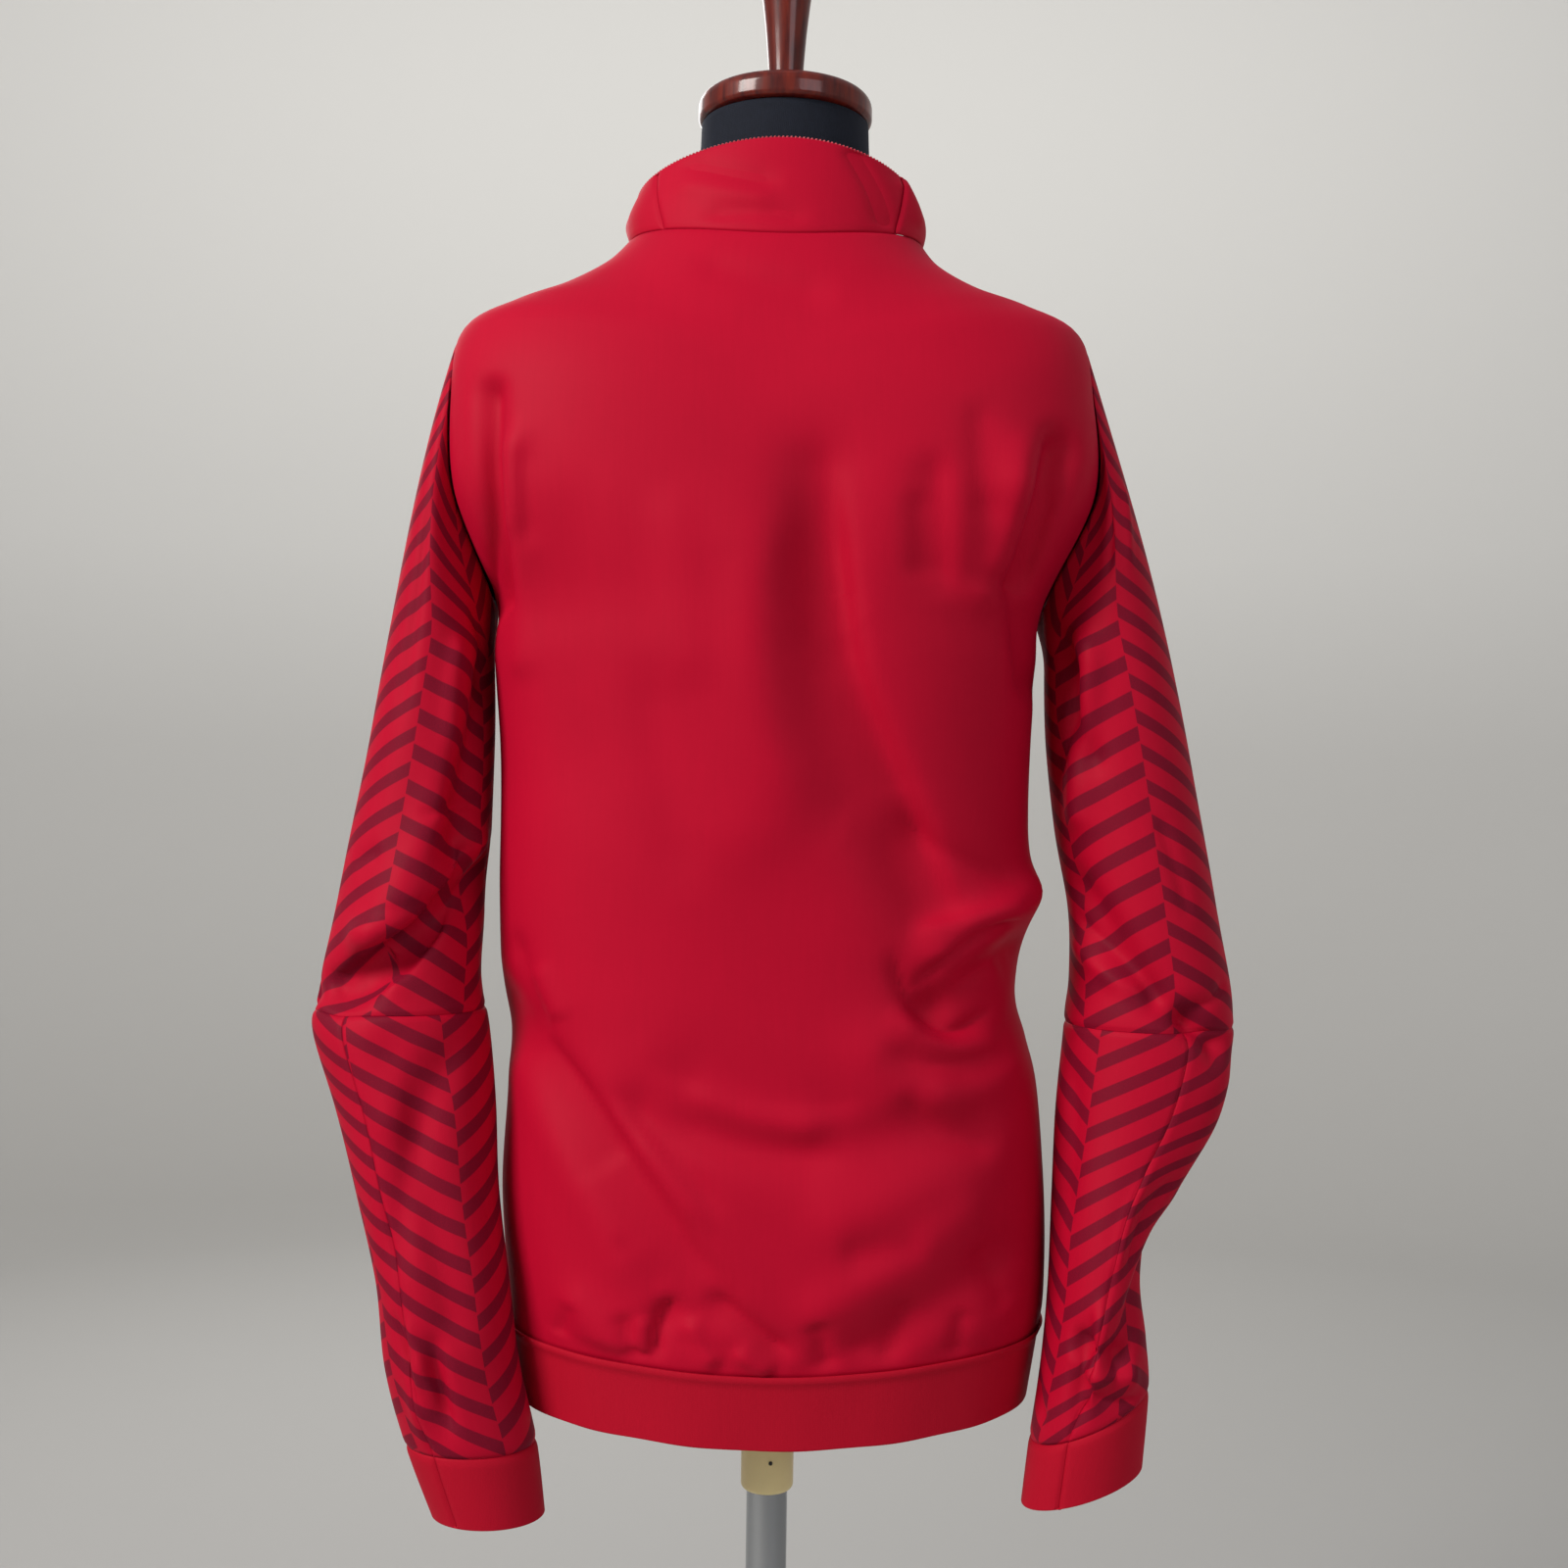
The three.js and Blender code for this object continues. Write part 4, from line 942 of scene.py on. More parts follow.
def crowded(count, crowd):
    """Steps from 0 to 1, closer together at both ends."""
    t = np.linspace(0, 1, count + 1)
    return t - crowd * np.sin(2 * np.pi * t) / (2 * np.pi)


def half_front(level):
    """Half the distance between the fronts' edges: closed up to the slider, then parting."""
    way = (level - SLIDER_LEVEL) / (NECK_SEAM - SLIDER_LEVEL)
    return ZIP_HALF + SEAM_GAP + (NECK_OPENING - ZIP_HALF) * np.minimum(smooth(way / 1.6) * 1.35, 1)


def front_angle(level, x):
    """The angle of a point of the front, x millimetres from the middle."""
    ring = body_ring(level)
    return 1.5 * np.pi + np.arctan2(x, ring["side_y"] - ring["front"])


def finish_body(angle, level, edges):
    """A body panel's points with creases, unevenness and sunk seams."""
    points = body_surface(angle, level)
    out = normal_of(body_surface, angle, level, 1)
    relief = body_crease_relief(points, level)
    calm = smooth((level - HEM_SEAM) / 0.6) * smooth((NECK_SEAM - level) / 2)
    relief = relief + calm * uneven(points[..., 0], points[..., 2])
    return points + out * (relief - seam_dip(points, edges))[..., None]


SEWN = (0.8, 2.0)  # depth and width of the dip at a sewn edge, in millimetres
HEM_SEWN, NECK_SEWN = (1.2, 2.4), (0.5, 2)
LEVELS = panel_levels(146, 56, 40)
BODY_CROWD = 0.6


def add_body_panel(name, node, start, end, columns, sides, seen_from):
    """A panel between two edges, each given as an angle for every level."""
    angle = start[:, None] + (end - start)[:, None] * crowded(columns, BODY_CROWD)[None, :]
    level = np.repeat(LEVELS[:, None], angle.shape[1], axis=1)
    sewn = dict.fromkeys(sides, SEWN)
    points = finish_body(angle, level, dict(sewn, low=HEM_SEWN, high=NECK_SEWN))
    piece = grid_object(name, points, body_knit)
    face_out(piece, seen_from)
    dress(piece, points, [node])


def outer_edge(side, back):
    return angle_at_depth(body_ring(LEVELS), seam_depth(LEVELS, side, back), side)


def make_back():
    start, end = outer_edge(1, True), outer_edge(-1, True)
    add_body_panel("cloth_back", "back_panel", start, end, 150, ("left", "right"), (0, 1, 0))


def make_front(name, side):
    seam = outer_edge(side, False)
    outer = np.where(seam < (np.pi if side > 0 else 0), seam + 2 * np.pi, seam)
    inner = front_angle(LEVELS, side * half_front(LEVELS))
    add_body_panel("cloth_front_" + name, "front_" + name, inner, outer, 84, ("right",), (0, -1, 0))


make_back()
make_front("left", 1)
make_front("right", -1)

# %% [markdown]
# Folded bands
#
# Hem band, cuffs and collar are strips folded along their free edge, so both sides show. The
# section runs up the outside, over a small round fold, and back down the inside.

# %% Band builder
DOUBLE = 2.4  # thickness of a folded band, in millimetres
BAND_LAYER = 1.0
HEM_RIPPLE = (0.35, 9.0, 13.0)  # depth and lengths of the hem's slight waves
HEM_DIP, CUFF_DIP, CUFF_SIDES = (1.3, 2.4), (1.2, 2.4), (1.2, 1.8)
OUTSIDE = 0.1  # points less deep than this lie on a band's outer layer
TUCK = (1.2, 2.8)  # how far the hem's top edge goes in and up behind the panels


def folded(surface, angle_of, start, end, sign, tall, outer_rows, fold_rows=8, inner_rows=10):
    """Points of a folded band from its seam, start, over its fold, end, and back."""
    radius = DOUBLE / 2
    share = radius / tall
    up = np.linspace(0, 1 - share, outer_rows)
    turn = np.linspace(0, np.pi, fold_rows + 2)[1:-1]
    height = np.concatenate([up, 1 - share + share * np.sin(turn), np.linspace(1 - share, 0.04, inner_rows)])
    depth = np.concatenate([0 * up, radius * (1 - np.cos(turn)), np.full(inner_rows, DOUBLE)])
    b = start + (end - start) * height
    angle = np.stack([angle_of(value) for value in b])
    b = np.repeat(b[:, None], angle.shape[1], axis=1)
    points = surface(angle, b)
    out = normal_of(surface, angle, b, sign)
    return points - out * depth[:, None, None], depth


def make_hem():
    across = np.linspace(0, 1, 301)

    def angle_of(level):
        start = front_angle(level, ZIP_HALF + SEAM_GAP) - 2 * np.pi
        return start + (front_angle(level, -ZIP_HALF - SEAM_GAP) - start) * across

    points, depth = folded(body_surface, angle_of, HEM_SEAM, 0.02, 1, 38, 22)
    out = grid_normals(points, 1)
    height, wave_x, wave_y = HEM_RIPPLE
    ripple = height * np.sin(points[..., 0] / wave_x) * np.sin(points[..., 1] / wave_y + 1)
    sunk = dip_at(points[..., 2] - points[0, :, 2], HEM_DIP) * (depth < OUTSIDE)[:, None]
    points = points + out * (ripple - sunk)[..., None]
    points[0] += TUCK[1] * np.array([0, 0, 1]) - TUCK[0] * out[0]
    piece = grid_object("cloth_hem_band", points, band_knit, thickness=BAND_LAYER)
    face_out_band(piece)
    dress(piece, points, ["hem_band"])


def face_out_band(piece):
    """Turns a band's faces away from the middle of its outer side, its first third."""
    mesh = piece.data
    count = len(mesh.polygons)
    outer = mesh.polygons[:count // 3]
    first = mesh.polygons[count // 80]
    away = first.center - sum((face.center for face in outer), Vector()) / len(outer)
    away.z = 0
    if first.normal.dot(away) < 0:
        mesh.flip_normals()
        print("turned", piece.name)


make_hem()

# %% [markdown]
# Sleeves and cuffs
#
# An upper sleeve is one piece round the arm, sewn under it. Below the seam across the elbow the
# sleeve is cut in an outer and an inner piece. Each is a grid like the panels, closed by its
# seams.

# %% Sleeve panels
PIPED = (0.9, 1.8)  # the dip beside a sleeve's seams
ARMHOLE_START = -9 * math.radians(18)  # where the sleeve's seam starts at the armhole


def finish_sleeve(sleeve, angle, along, edges):
    surface = sleeve_surface(sleeve)
    points = surface(angle, along)
    out = grid_normals(points, -sleeve["side"])
    relief = sleeve_crease_relief(sleeve, points, angle, along)
    calm = smooth(along / 1.2) * smooth((CUFF_SEAM + 1 - along) / 0.6)
    relief = relief + calm * uneven(np.mod(angle, 2 * np.pi) * SLEEVE_RADIUS, points[..., 2])
    return points + out * (relief - seam_dip(points, edges))[..., None]


def add_sleeve_panel(name, node, points, bare, seen_from, elbow_row):
    piece = grid_object(name, points, printed_knit, from_row=elbow_row, bare=bare)
    face_out(piece, seen_from)
    dress(piece, points, [node])


def make_upper_sleeve(name, sleeve):
    side = sleeve["side"]
    top = (1 - np.cos(np.linspace(0, np.pi / 2, 51))) ** 0.9
    along = np.concatenate([top, np.linspace(1, ELBOW_SEAM + 1, 126)[1:]])
    start = UNDERARM_SEAM - 2 * np.pi
    first = ARMHOLE_START + (start - ARMHOLE_START) * smooth(along)[:, None]
    angle = first + 2 * np.pi * crowded(126, 0.35)[None, :]
    along = np.repeat(along[:, None], angle.shape[1], axis=1)
    points = finish_sleeve(sleeve, angle, along, dict(left=PIPED, right=PIPED, low=SEWN, high=PIPED))
    add_sleeve_panel("cloth_sleeve_" + name, "sleeve_upper_" + name, points,
                     smooth_sleeve(sleeve, angle, along), (side, 0, 0), -1)


def make_forearm(name, sleeve, outer):
    along = np.linspace(ELBOW_SEAM + 1, CUFF_SEAM + 1, 116)
    seam = forearm_seam(sleeve, along)
    under = np.full_like(seam, UNDERARM_SEAM)
    start, end = (under - 2 * np.pi, seam) if outer else (seam, under)
    angle = start[:, None] + (end - start)[:, None] * crowded(84 if outer else 56, 0.5)[None, :]
    along = np.repeat(along[:, None], angle.shape[1], axis=1)
    points = finish_sleeve(sleeve, angle, along, dict.fromkeys(("left", "right", "low", "high"), PIPED))
    which = "outer" if outer else "inner"
    middle = points[len(points) // 2]
    towards = middle[len(middle) // 2] - middle.mean(axis=0) if outer else (0, 1, 0)
    add_sleeve_panel(f"cloth_forearm_{which}_{name}", f"forearm_{which}_{name}", points,
                     smooth_sleeve(sleeve, angle, along), towards, 0)


def make_cuff(name, sleeve):
    """A cuff, closed by the seam that lies in line with the forearm's."""
    seam = forearm_seam(sleeve, np.float64(CUFF_SEAM + 1))
    turns = seam + 2 * np.pi * crowded(170, 0.35)
    points, depth = folded(sleeve_surface(sleeve), lambda along: turns, CUFF_SEAM + 1, CUFF_END + 1,
                           -sleeve["side"], 44, 26)
    out = grid_normals(points, -sleeve["side"])
    dip = seam_dip(points, dict(left=CUFF_SIDES, right=CUFF_SIDES, low=CUFF_DIP))
    points = points - out * (dip * (depth < OUTSIDE)[:, None])[..., None]
    piece = grid_object("cloth_cuff_" + name, points, band_knit, thickness=BAND_LAYER)
    face_out_band(piece)
    dress(piece, points, ["cuff_" + name])


for name, sleeve in SLEEVES.items():
    make_upper_sleeve(name, sleeve)
    make_forearm(name, sleeve, True)
    make_forearm(name, sleeve, False)
    make_cuff(name, sleeve)

# %% [markdown]
# Collar
#
# The stand-up collar is folded double along its top edge, in three parts joined beside the
# neck. Its side seams lean, and its fold is oversewn, which leaves small nubs along the edge.

# %% Collar parts
COLLAR_SEAM = (34, 8)  # degrees of the seams at the neck, and how much less at the top
COLLAR_FRONT_DEPTH = (80, 98)
COLLAR_RADIUS, COLLAR_HEIGHT = 75, 58  # turn degrees and heights of the collar into millimetres
COLLAR_DIP, COLLAR_SIDES = (0.7, 2.2), (1.2, 2)
COLLAR_CALM = 0.12  # the share of its height, low and high, over which creases fade
COLLAR_CREASES = [  # in degrees round the neck and shares of the height
    (5, 7, -1.8, 1.8, [(28, 0.82), (63, 0.65), (92, 0.54)]),
    (7, 7, 1.5, 2, [(30, 0.55), (62, 0.42), (90, 0.34)]),
    (6, 7, -1.6, 1.8, [(48, 0.14), (76, 0.24), (106, 0.16)]),
    (7, 8, -2.6, 1.8, [(122, 1.2), (133, 0.75), (139, 0.35), (141, -0.1)]),
    (9, 9, 2, 2, [(158, 0.8), (163, 0.45), (165, 0.1)]),
    (7, 7, -2, 1.8, [(176, 0.9), (184, 0.4)]),
    (6, 7, -2, 1.8, [(-20, 0.75), (8, 0.5)]),
    (6, 6, 1.6, 2, [(-30, 0.4), (0, 0.25)]),
]


def collar_relief(angle, height):
    creases = [(*looks, [(math.radians(a) * COLLAR_RADIUS, h * COLLAR_HEIGHT) for a, h in corners])
               for *looks, corners in COLLAR_CREASES]
    return crease_shift(creases, angle * COLLAR_RADIUS, height * COLLAR_HEIGHT)


def collar_seam(height):
    return math.radians(COLLAR_SEAM[0] - COLLAR_SEAM[1] * height)


def collar_front_angle(height, side):
    """The angle of a collar part's free front end."""
    x = NECK_OPENING + SEAM_GAP + (COLLAR_OPENING - NECK_OPENING) * height
    low, high = COLLAR_FRONT_DEPTH
    return 1.5 * math.pi + math.atan2(side * x, low + (high - low) * height)


def make_collar(name, angle_of, columns, sewn):
    across = crowded(columns, 0.5)

    def spread(height):
        start, end = angle_of(height)
        return start + (end - start) * across

    points, depth = folded(collar_surface, spread, 0.0, 1.0, 1, 58, 30, fold_rows=10, inner_rows=22)
    outside = (depth < OUTSIDE)[:, None]
    rise = lengths(points, 0)
    dip = np.maximum(dip_at(rise, COLLAR_DIP), seam_dip(points, dict.fromkeys(sewn, COLLAR_SIDES)))
    height = np.clip(rise / COLLAR_HEIGHT, 0, 1)
    angle = np.arctan2(points[..., 1], points[..., 0])
    angle = np.where(angle < -math.pi / 2, angle + 2 * math.pi, angle)
    calm = smooth(height / COLLAR_CALM) * smooth((1 - height) / COLLAR_CALM)
    shift = (collar_relief(angle, height) * calm - dip) * outside
    points = points + grid_normals(points, 1) * shift[..., None]
    piece = grid_object("cloth_collar_" + name, points, body_knit, thickness=BAND_LAYER)
    face_out_band(piece)
    dress(piece, points, ["collar_" + name])


make_collar("back", lambda h: (collar_seam(h), math.pi - collar_seam(h)), 130, ["left", "right"])
make_collar("left", lambda h: (collar_front_angle(h, 1) - 2 * math.pi, collar_seam(h)), 96, ["right"])
make_collar("right", lambda h: (math.pi - collar_seam(h), collar_front_angle(h, -1)), 96, ["left"])

# %% [markdown]
# Zip
#
# Two woven tapes run up the fronts and the collar, each with moulded teeth along its inner edge.
# The teeth of the two sides lie half a step apart, so that they mesh below the slider. They are
# chamfered blocks, made by one loop and joined, because there are several hundred.

# %% Zip path
TOOTH_PITCH = 2.6
TOOTH = (3.0, 1.25, 2.5)  # across, along the zip and out of the cloth, in millimetres
TAPE = 0.3
TAPE_UNDER = 4.2  # how far it runs on under the front, where it is sewn
TAPE_EDGE = 0.3  # how far the tapes stop short of the middle
TAPE_OUT, TAPE_IN, TAPE_IN_COLLAR = 0.4, 1.4, 1.1  # its depth beside the teeth and under the front
TOOTH_RISE, TOOTH_REACH = 0.18, 0.4  # a tooth's middle: above the tape and past its edge
ZIP_FOOT, ZIP_BODY, ZIP_TOP = 0.05, 0.82, 0.96  # its first level, its share on the body, its end


def zip_rows(count):
    """Places along the zip: levels up the body, then heights of the collar, from 0 to 1."""
    t = np.linspace(0, 1, count)
    level = ZIP_FOOT + (NECK_SEAM - ZIP_FOOT) * np.minimum(t / ZIP_BODY, 1)
    height = np.maximum(t - ZIP_BODY, 0) / (1 - ZIP_BODY) * ZIP_TOP
    return level, height


def zip_point(side, level, height, inset):
    """A point of the zip at a distance inwards from the front's edge, in millimetres."""
    on_body = height <= 0
    collar_edge = NECK_OPENING + (COLLAR_OPENING - NECK_OPENING) * height
    x = side * (np.where(on_body, half_front(level) - SEAM_GAP, collar_edge) - inset)
    low, high = COLLAR_FRONT_DEPTH
    turned = 1.5 * np.pi + np.arctan2(x, low + (high - low) * height)
    body = body_surface(front_angle(level, x), level)
    collar = collar_surface(turned, height)
    return np.where(on_body[..., None], body, collar)


def make_tape(name, side):
    level, height = zip_rows(321)
    inset = np.linspace(ZIP_HALF - TAPE_EDGE, -TAPE_UNDER, 15)
    shape = (len(level), len(inset))
    level = np.broadcast_to(level[:, None], shape)
    height = np.broadcast_to(height[:, None], shape)
    points = zip_point(side, level, height, np.broadcast_to(inset, shape))
    under = np.where(height > 0, TAPE_IN_COLLAR, TAPE_IN)
    sunk = TAPE_OUT + (under - TAPE_OUT) * smooth((0.8 - inset) / 0.8)
    points = points - grid_normals(points, side) * sunk[..., None]
    piece = grid_object("tape_" + name, points, zip_tape, thickness=TAPE)
    face_out(piece, (0, -1, 0.1))
    dress(piece, points, ["zip_tape_" + name])


def tooth_frames(side):
    """Where each tooth sits: its place, and its directions across, along and out."""
    level, height = zip_rows(4001)
    path = zip_point(side, level, height, np.full_like(level, ZIP_HALF - 0.9))
    outer = zip_point(side, level, height, np.full_like(level, ZIP_HALF - 3.5))
    run = lengths(path[:, None, :], 0)[:, 0]
    marks = np.arange(4 + (TOOTH_PITCH / 2 if side > 0 else 0), run[-1] - 2, TOOTH_PITCH)
    pick = np.searchsorted(run, marks)
    along = unit(path[pick + 1] - path[pick - 1])
    across = unit(outer[pick] - path[pick])
    out = unit(np.cross(across, along)) * side
    return path[pick], unit(np.cross(out, along)), along, out


def box_matrix(place, across, along, out, size):
    """Puts a unit cube at a place in millimetres, turned to three directions."""
    matrix = Matrix((across, along, out)).transposed().to_4x4()
    matrix.translation = Vector(place) * MM
    return matrix @ Matrix.Diagonal((*(s * MM for s in size), 1))


def hard_piece(name, bm, material, body, nodes):
    """Finishes a hard piece from bmesh: welded, facing out, smooth-shaded below 35 degrees."""
    bmesh.ops.remove_doubles(bm, verts=bm.verts, dist=1e-7)
    bmesh.ops.recalc_face_normals(bm, faces=bm.faces)
    for face in bm.faces:
        face.smooth = True
    for edge in bm.edges:
        if len(edge.link_faces) == 2:
            edge.smooth = edge.calc_face_angle() < math.radians(35)
    mesh = bpy.data.meshes.new(name)
    bm.to_mesh(mesh)
    bm.free()
    mesh.materials.append(material)
    piece = add_object(name, mesh)
    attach(piece, body)
    if nodes:
        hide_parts(*nodes)
    print(name, len(mesh.polygons), "faces")


def soften(bm, edges, width, segments=3):
    bmesh.ops.bevel(bm, geom=edges, offset=width, segments=segments, profile=0.5, affect="EDGES",
                    material=-1, clamp_overlap=True)


def add_box(bm, middle, across, along, out, size):
    bmesh.ops.create_cube(bm, size=1, matrix=box_matrix(middle, across, along, out, size))


def make_teeth(name, side):
    bm = bmesh.new()
    for place, across, along, out in zip(*tooth_frames(side)):
        middle = place + out * TOOTH_RISE - across * TOOTH_REACH
        add_box(bm, middle, across, along, out, TOOTH)
    soften(bm, list(bm.edges), 0.3 * MM, 1)
    hard_piece("zip_teeth_" + name, bm, tooth_resin, "root", [])


def make_stops():
    """The box and pin at the zip's foot, and a stop at the top of each row of teeth."""
    bm = bmesh.new()
    for side in (1, -1):
        place, across, along, out = tooth_frames(side)
        for end, shift, size in ((0, -3.2, (4.4, 5.6, 3.2)), (-1, 2.6, (3.6, 2.6, 3))):
            add_box(bm, place[end] + along[end] * shift, across[end], along[end], out[end], size)
    soften(bm, list(bm.edges), 0.5 * MM, 2)
    hard_piece("zip_stops", bm, tooth_resin, "root", [])


# %% [markdown]
# Slider and pull
#
# The slider is cast zinc: two plates round the teeth, a neck between them and a bar on two lugs.
# The pull is a flat tongue on an eye round the bar, so it swings. Both are built in the slider's
# own frame, x across, y up the zip and z out of the cloth, in millimetres, and then put in their
# place with one matrix.

# %% Slider and pull
SLIDER = {"wide": 9.0, "long": 12.0, "thick": 3.0, "bar_radius": 0.7, "bar_height": 3.2,
          "lug_x": 3.2, "lug_wide": 1.4, "lug_long": 3.2}
TAB = {"eye": 2.0, "bore": 1.1, "neck_wide": 4.2, "neck_start": 1.0, "neck_end": 9.0, "wide": 7.4,
       "end": 26.0, "thick": 1.6}


def slider_place():
    angle, level = np.array([1.5 * math.pi]), np.array([SLIDER_LEVEL])
    out = normal_of(body_surface, angle, level, 1)[0]
    lift = SLIDER["bar_height"] + SLIDER["thick"] + 2 * SEAM_GAP
    origin = body_surface(angle, level)[0] + out * lift
    origin[0] = 0
    across = np.array([1.0, 0, 0])
    return box_matrix(origin, across, np.cross(out, across), out, (1, 1, 1))


def add_block(bm, low, high):
    """A block between two corners, and its edges."""
    middle = [(a + b) / 2 for a, b in zip(low, high)]
    size = [b - a for a, b in zip(low, high)]
    made = bmesh.ops.create_cube(bm, size=1, matrix=Matrix.Translation(middle) @ Matrix.Diagonal((*size, 1)))
    return list({edge for vert in made["verts"] for edge in vert.link_edges})


def turn_profile(bm, points, axis, steps, closed=False):
    """Joins points to a profile and turns it round an axis."""
    nexts = points[1:] + points[:1] if closed else points[1:]
    edges = [bm.edges.new(pair) for pair in zip(points, nexts)]
    bmesh.ops.spin(bm, geom=points + edges, axis=axis, cent=(0, 0, 0), angle=2 * math.pi,
                   steps=steps, use_merge=True)


def add_ring(bm, inner, outer, half_wide, steps=40):
    """A ring round the x axis, with rounded rims."""
    rim = (outer - inner) * 0.28
    profile = [(half_wide, inner + rim), (half_wide, outer - rim), (half_wide - rim, outer),
               (-half_wide + rim, outer), (-half_wide, outer - rim), (-half_wide, inner + rim),
               (-half_wide + rim, inner), (half_wide - rim, inner)]
    points = [bm.verts.new((x, 0, r)) for x, r in profile]
    turn_profile(bm, points, (1, 0, 0), steps, closed=True)


def make_slider():
    s = SLIDER
    bm = bmesh.new()
    half, reach = s["wide"] / 2, s["long"] / 2
    top, bottom = -s["bar_height"], -s["bar_height"] - s["thick"]
    for low, high in ((top - 0.8, top), (bottom, bottom + 0.7)):
        soften(bm, add_block(bm, (-half, -reach, low), (half, reach, high)), 0.3)
    soften(bm, add_block(bm, (-1.2, 1, bottom + 0.5), (1.2, reach - 0.4, top - 0.5)), 0.2)
    for side in (1, -1):
        edge = sorted((side * half, side * (half - 0.9)))
        soften(bm, add_block(bm, (edge[0], -reach + 0.6, bottom + 0.3), (edge[1], 1, top - 0.2)), 0.2)
        lug = sorted((side * (s["lug_x"] - s["lug_wide"] / 2), side * (s["lug_x"] + s["lug_wide"] / 2)))
        lug_end = s["lug_long"] / 2
        soften(bm, add_block(bm, (lug[0], -lug_end, top - 0.3), (lug[1], lug_end, 0.9)), 0.5, 4)
    bar = Matrix.Rotation(math.pi / 2, 4, "Y")
    bmesh.ops.create_cone(bm, cap_ends=True, segments=24, radius1=s["bar_radius"], radius2=s["bar_radius"],
                          depth=2 * s["lug_x"], matrix=bar)
    bm.transform(slider_place())
    hard_piece("slider", bm, plated_zinc, "root", ["zip_slider"])


def make_pull():
    t = TAB
    bm = bmesh.new()
    half, wide = t["neck_wide"] / 2, t["wide"] / 2
    right = [(half, -t["neck_start"]), (half, -t["neck_end"] + 1.6), (half + 0.6, -t["neck_end"]),
             (wide, -t["neck_end"] - 1.6), (wide, -t["end"] + 2.4), (wide - 0.8, -t["end"] + 0.8),
             (wide - 2.4, -t["end"])]
    outline = right + [(-x, y) for x, y in reversed(right)]
    face = bm.faces.new([bm.verts.new((x, y, -t["thick"] / 2)) for x, y in outline])
    raised = bmesh.ops.extrude_face_region(bm, geom=[face])
    top = [g for g in raised["geom"] if isinstance(g, bmesh.types.BMVert)]
    bmesh.ops.translate(bm, verts=top, vec=(0, 0, t["thick"]))
    soften(bm, list(bm.edges), 0.3)
    add_ring(bm, t["bore"], t["eye"], half)
    bm.transform(slider_place())
    hard_piece("pull", bm, plated_zinc, "pull_tab", ["zip_pull"])


# %% [markdown]
# Finishes of the zip
#
# The tape is woven polyester, dyed like the cloth. The teeth are acetal resin, a smooth plastic
# with a soft gloss, and the slider and its pull are zinc with a bright plating, finely scratched.

# %% Zip materials
def make_zip_materials():
    tape, tree, principled = new_material("woven_tape_red", "#A80E26", 0.7, specular_ior_level=0.3)
    bump(tree, principled, wales(tree, metres(tree, "cut"), 0.0007), 0.00006)
    resin, _, _ = new_material("acetal_resin_red", "#8E0C20", 0.3, ior=1.48)
    zinc, tree, principled = new_material("plated_zinc", "#B9BABC", 0.22, metallic=1.0)
    scratched = mottle(tree, metres(tree, "object"), 0.0012, 0.0, 1.0)
    bump(tree, principled, scratched, 0.00001)
    return tape, resin, zinc


zip_tape, tooth_resin, plated_zinc = make_zip_materials()
for name, side in (("left", 1), ("right", -1)):
    make_tape(name, side)
    make_teeth(name, side)
make_stops()
make_slider()
make_pull()

# %% [markdown]
# Seams and oversewing
#
# The collar's fold is oversewn. Each stitch is a small bead of thread that stands a little proud
# of the edge, a flattened sphere of few faces, and all of them are joined in one piece.

# %% Stitches
STITCH_PITCH = 2.4
STITCH = (1.5, 0.9, 1.0)


def make_oversewing():
    angles = np.linspace(collar_front_angle(1, 1) - 2 * math.pi, collar_front_angle(1, -1), 3001)
    height = np.ones_like(angles)
    edge = collar_surface(angles, height)
    inner = edge - normal_of(collar_surface, angles, height * 0.999, 1) * DOUBLE / 2
    run = lengths(inner[:, None, :], 0)[:, 0]
    pick = np.searchsorted(run, np.arange(2, run[-1] - 2, STITCH_PITCH))
    bm = bmesh.new()
    for i in pick:
        along = unit(inner[i + 1] - inner[i - 1])
        out = np.array([0.0, 0.0, 1.0])
        across = unit(np.cross(out, along))
        matrix = box_matrix(inner[i] - out * 0.1, across, along, np.cross(across, along), STITCH)
        bmesh.ops.create_uvsphere(bm, u_segments=8, v_segments=5, radius=1, matrix=matrix)
    hard_piece("collar_oversewing", bm, thread, "root", [])


thread, _, _ = new_material("polyester_thread_red", "#B81030", 0.5, sheen_weight=0.3)
make_oversewing()

# %% [markdown]
# The form
#
# The form is a padded trunk covered with dark jersey. Its rings are those of the solids. It is
# closed below and at the top of the neck, where the wooden cap sits.

# %% Trunk
FORM = ("side_z", "back_z", "front_z", "left", "side_y", "back", "front", "square")
FORM_ROWS = [
    (-300, -300, -300, 140, 0, 88, -94, 2.2),
    (-240, -240, -240, 143, 0, 90, -96, 2.2),
    (-180, -180, -180, 140, 0, 88, -94, 2.2),
    (-120, -120, -120, 131, 0, 82, -88, 2.2),
    (-72, -72, -72, 125, 0, 79, -88, 2.2),
    (-24, -24, -24, 124, 0, 80, -95, 2.2),
    (24, 24, 24, 127, 0, 86, -104, 2.2),
    (72, 70, 66, 133, 0, 93, -109, 2.2),
    (110, 105, 95, 138, 0, 97, -109, 2.2),
    (160, 150, 132, 146, 0, 99, -104, 2.2),
    (222, 198, 170, 157, 0, 98, -97, 2.3),
    (258, 233, 192, 160, 0, 94, -91, 2.3),
    (279.5, 255, 206, 149, 2, 92, -88, 2.2),
    (290, 271, 217, 132, 4, 88, -84, 2.1),
    (302, 290, 228, 106, 4, 81, -79, 2.05),
    (320, 311, 246, 79, 2, 64, -68, 2),
    (345, 336, 282, 61, -1, 56, -58, 2),
    (372, 368, 338, 53, -2, 52, -54, 2),
    (402, 402, 402, 51, -2, 49, -53, 2),
]


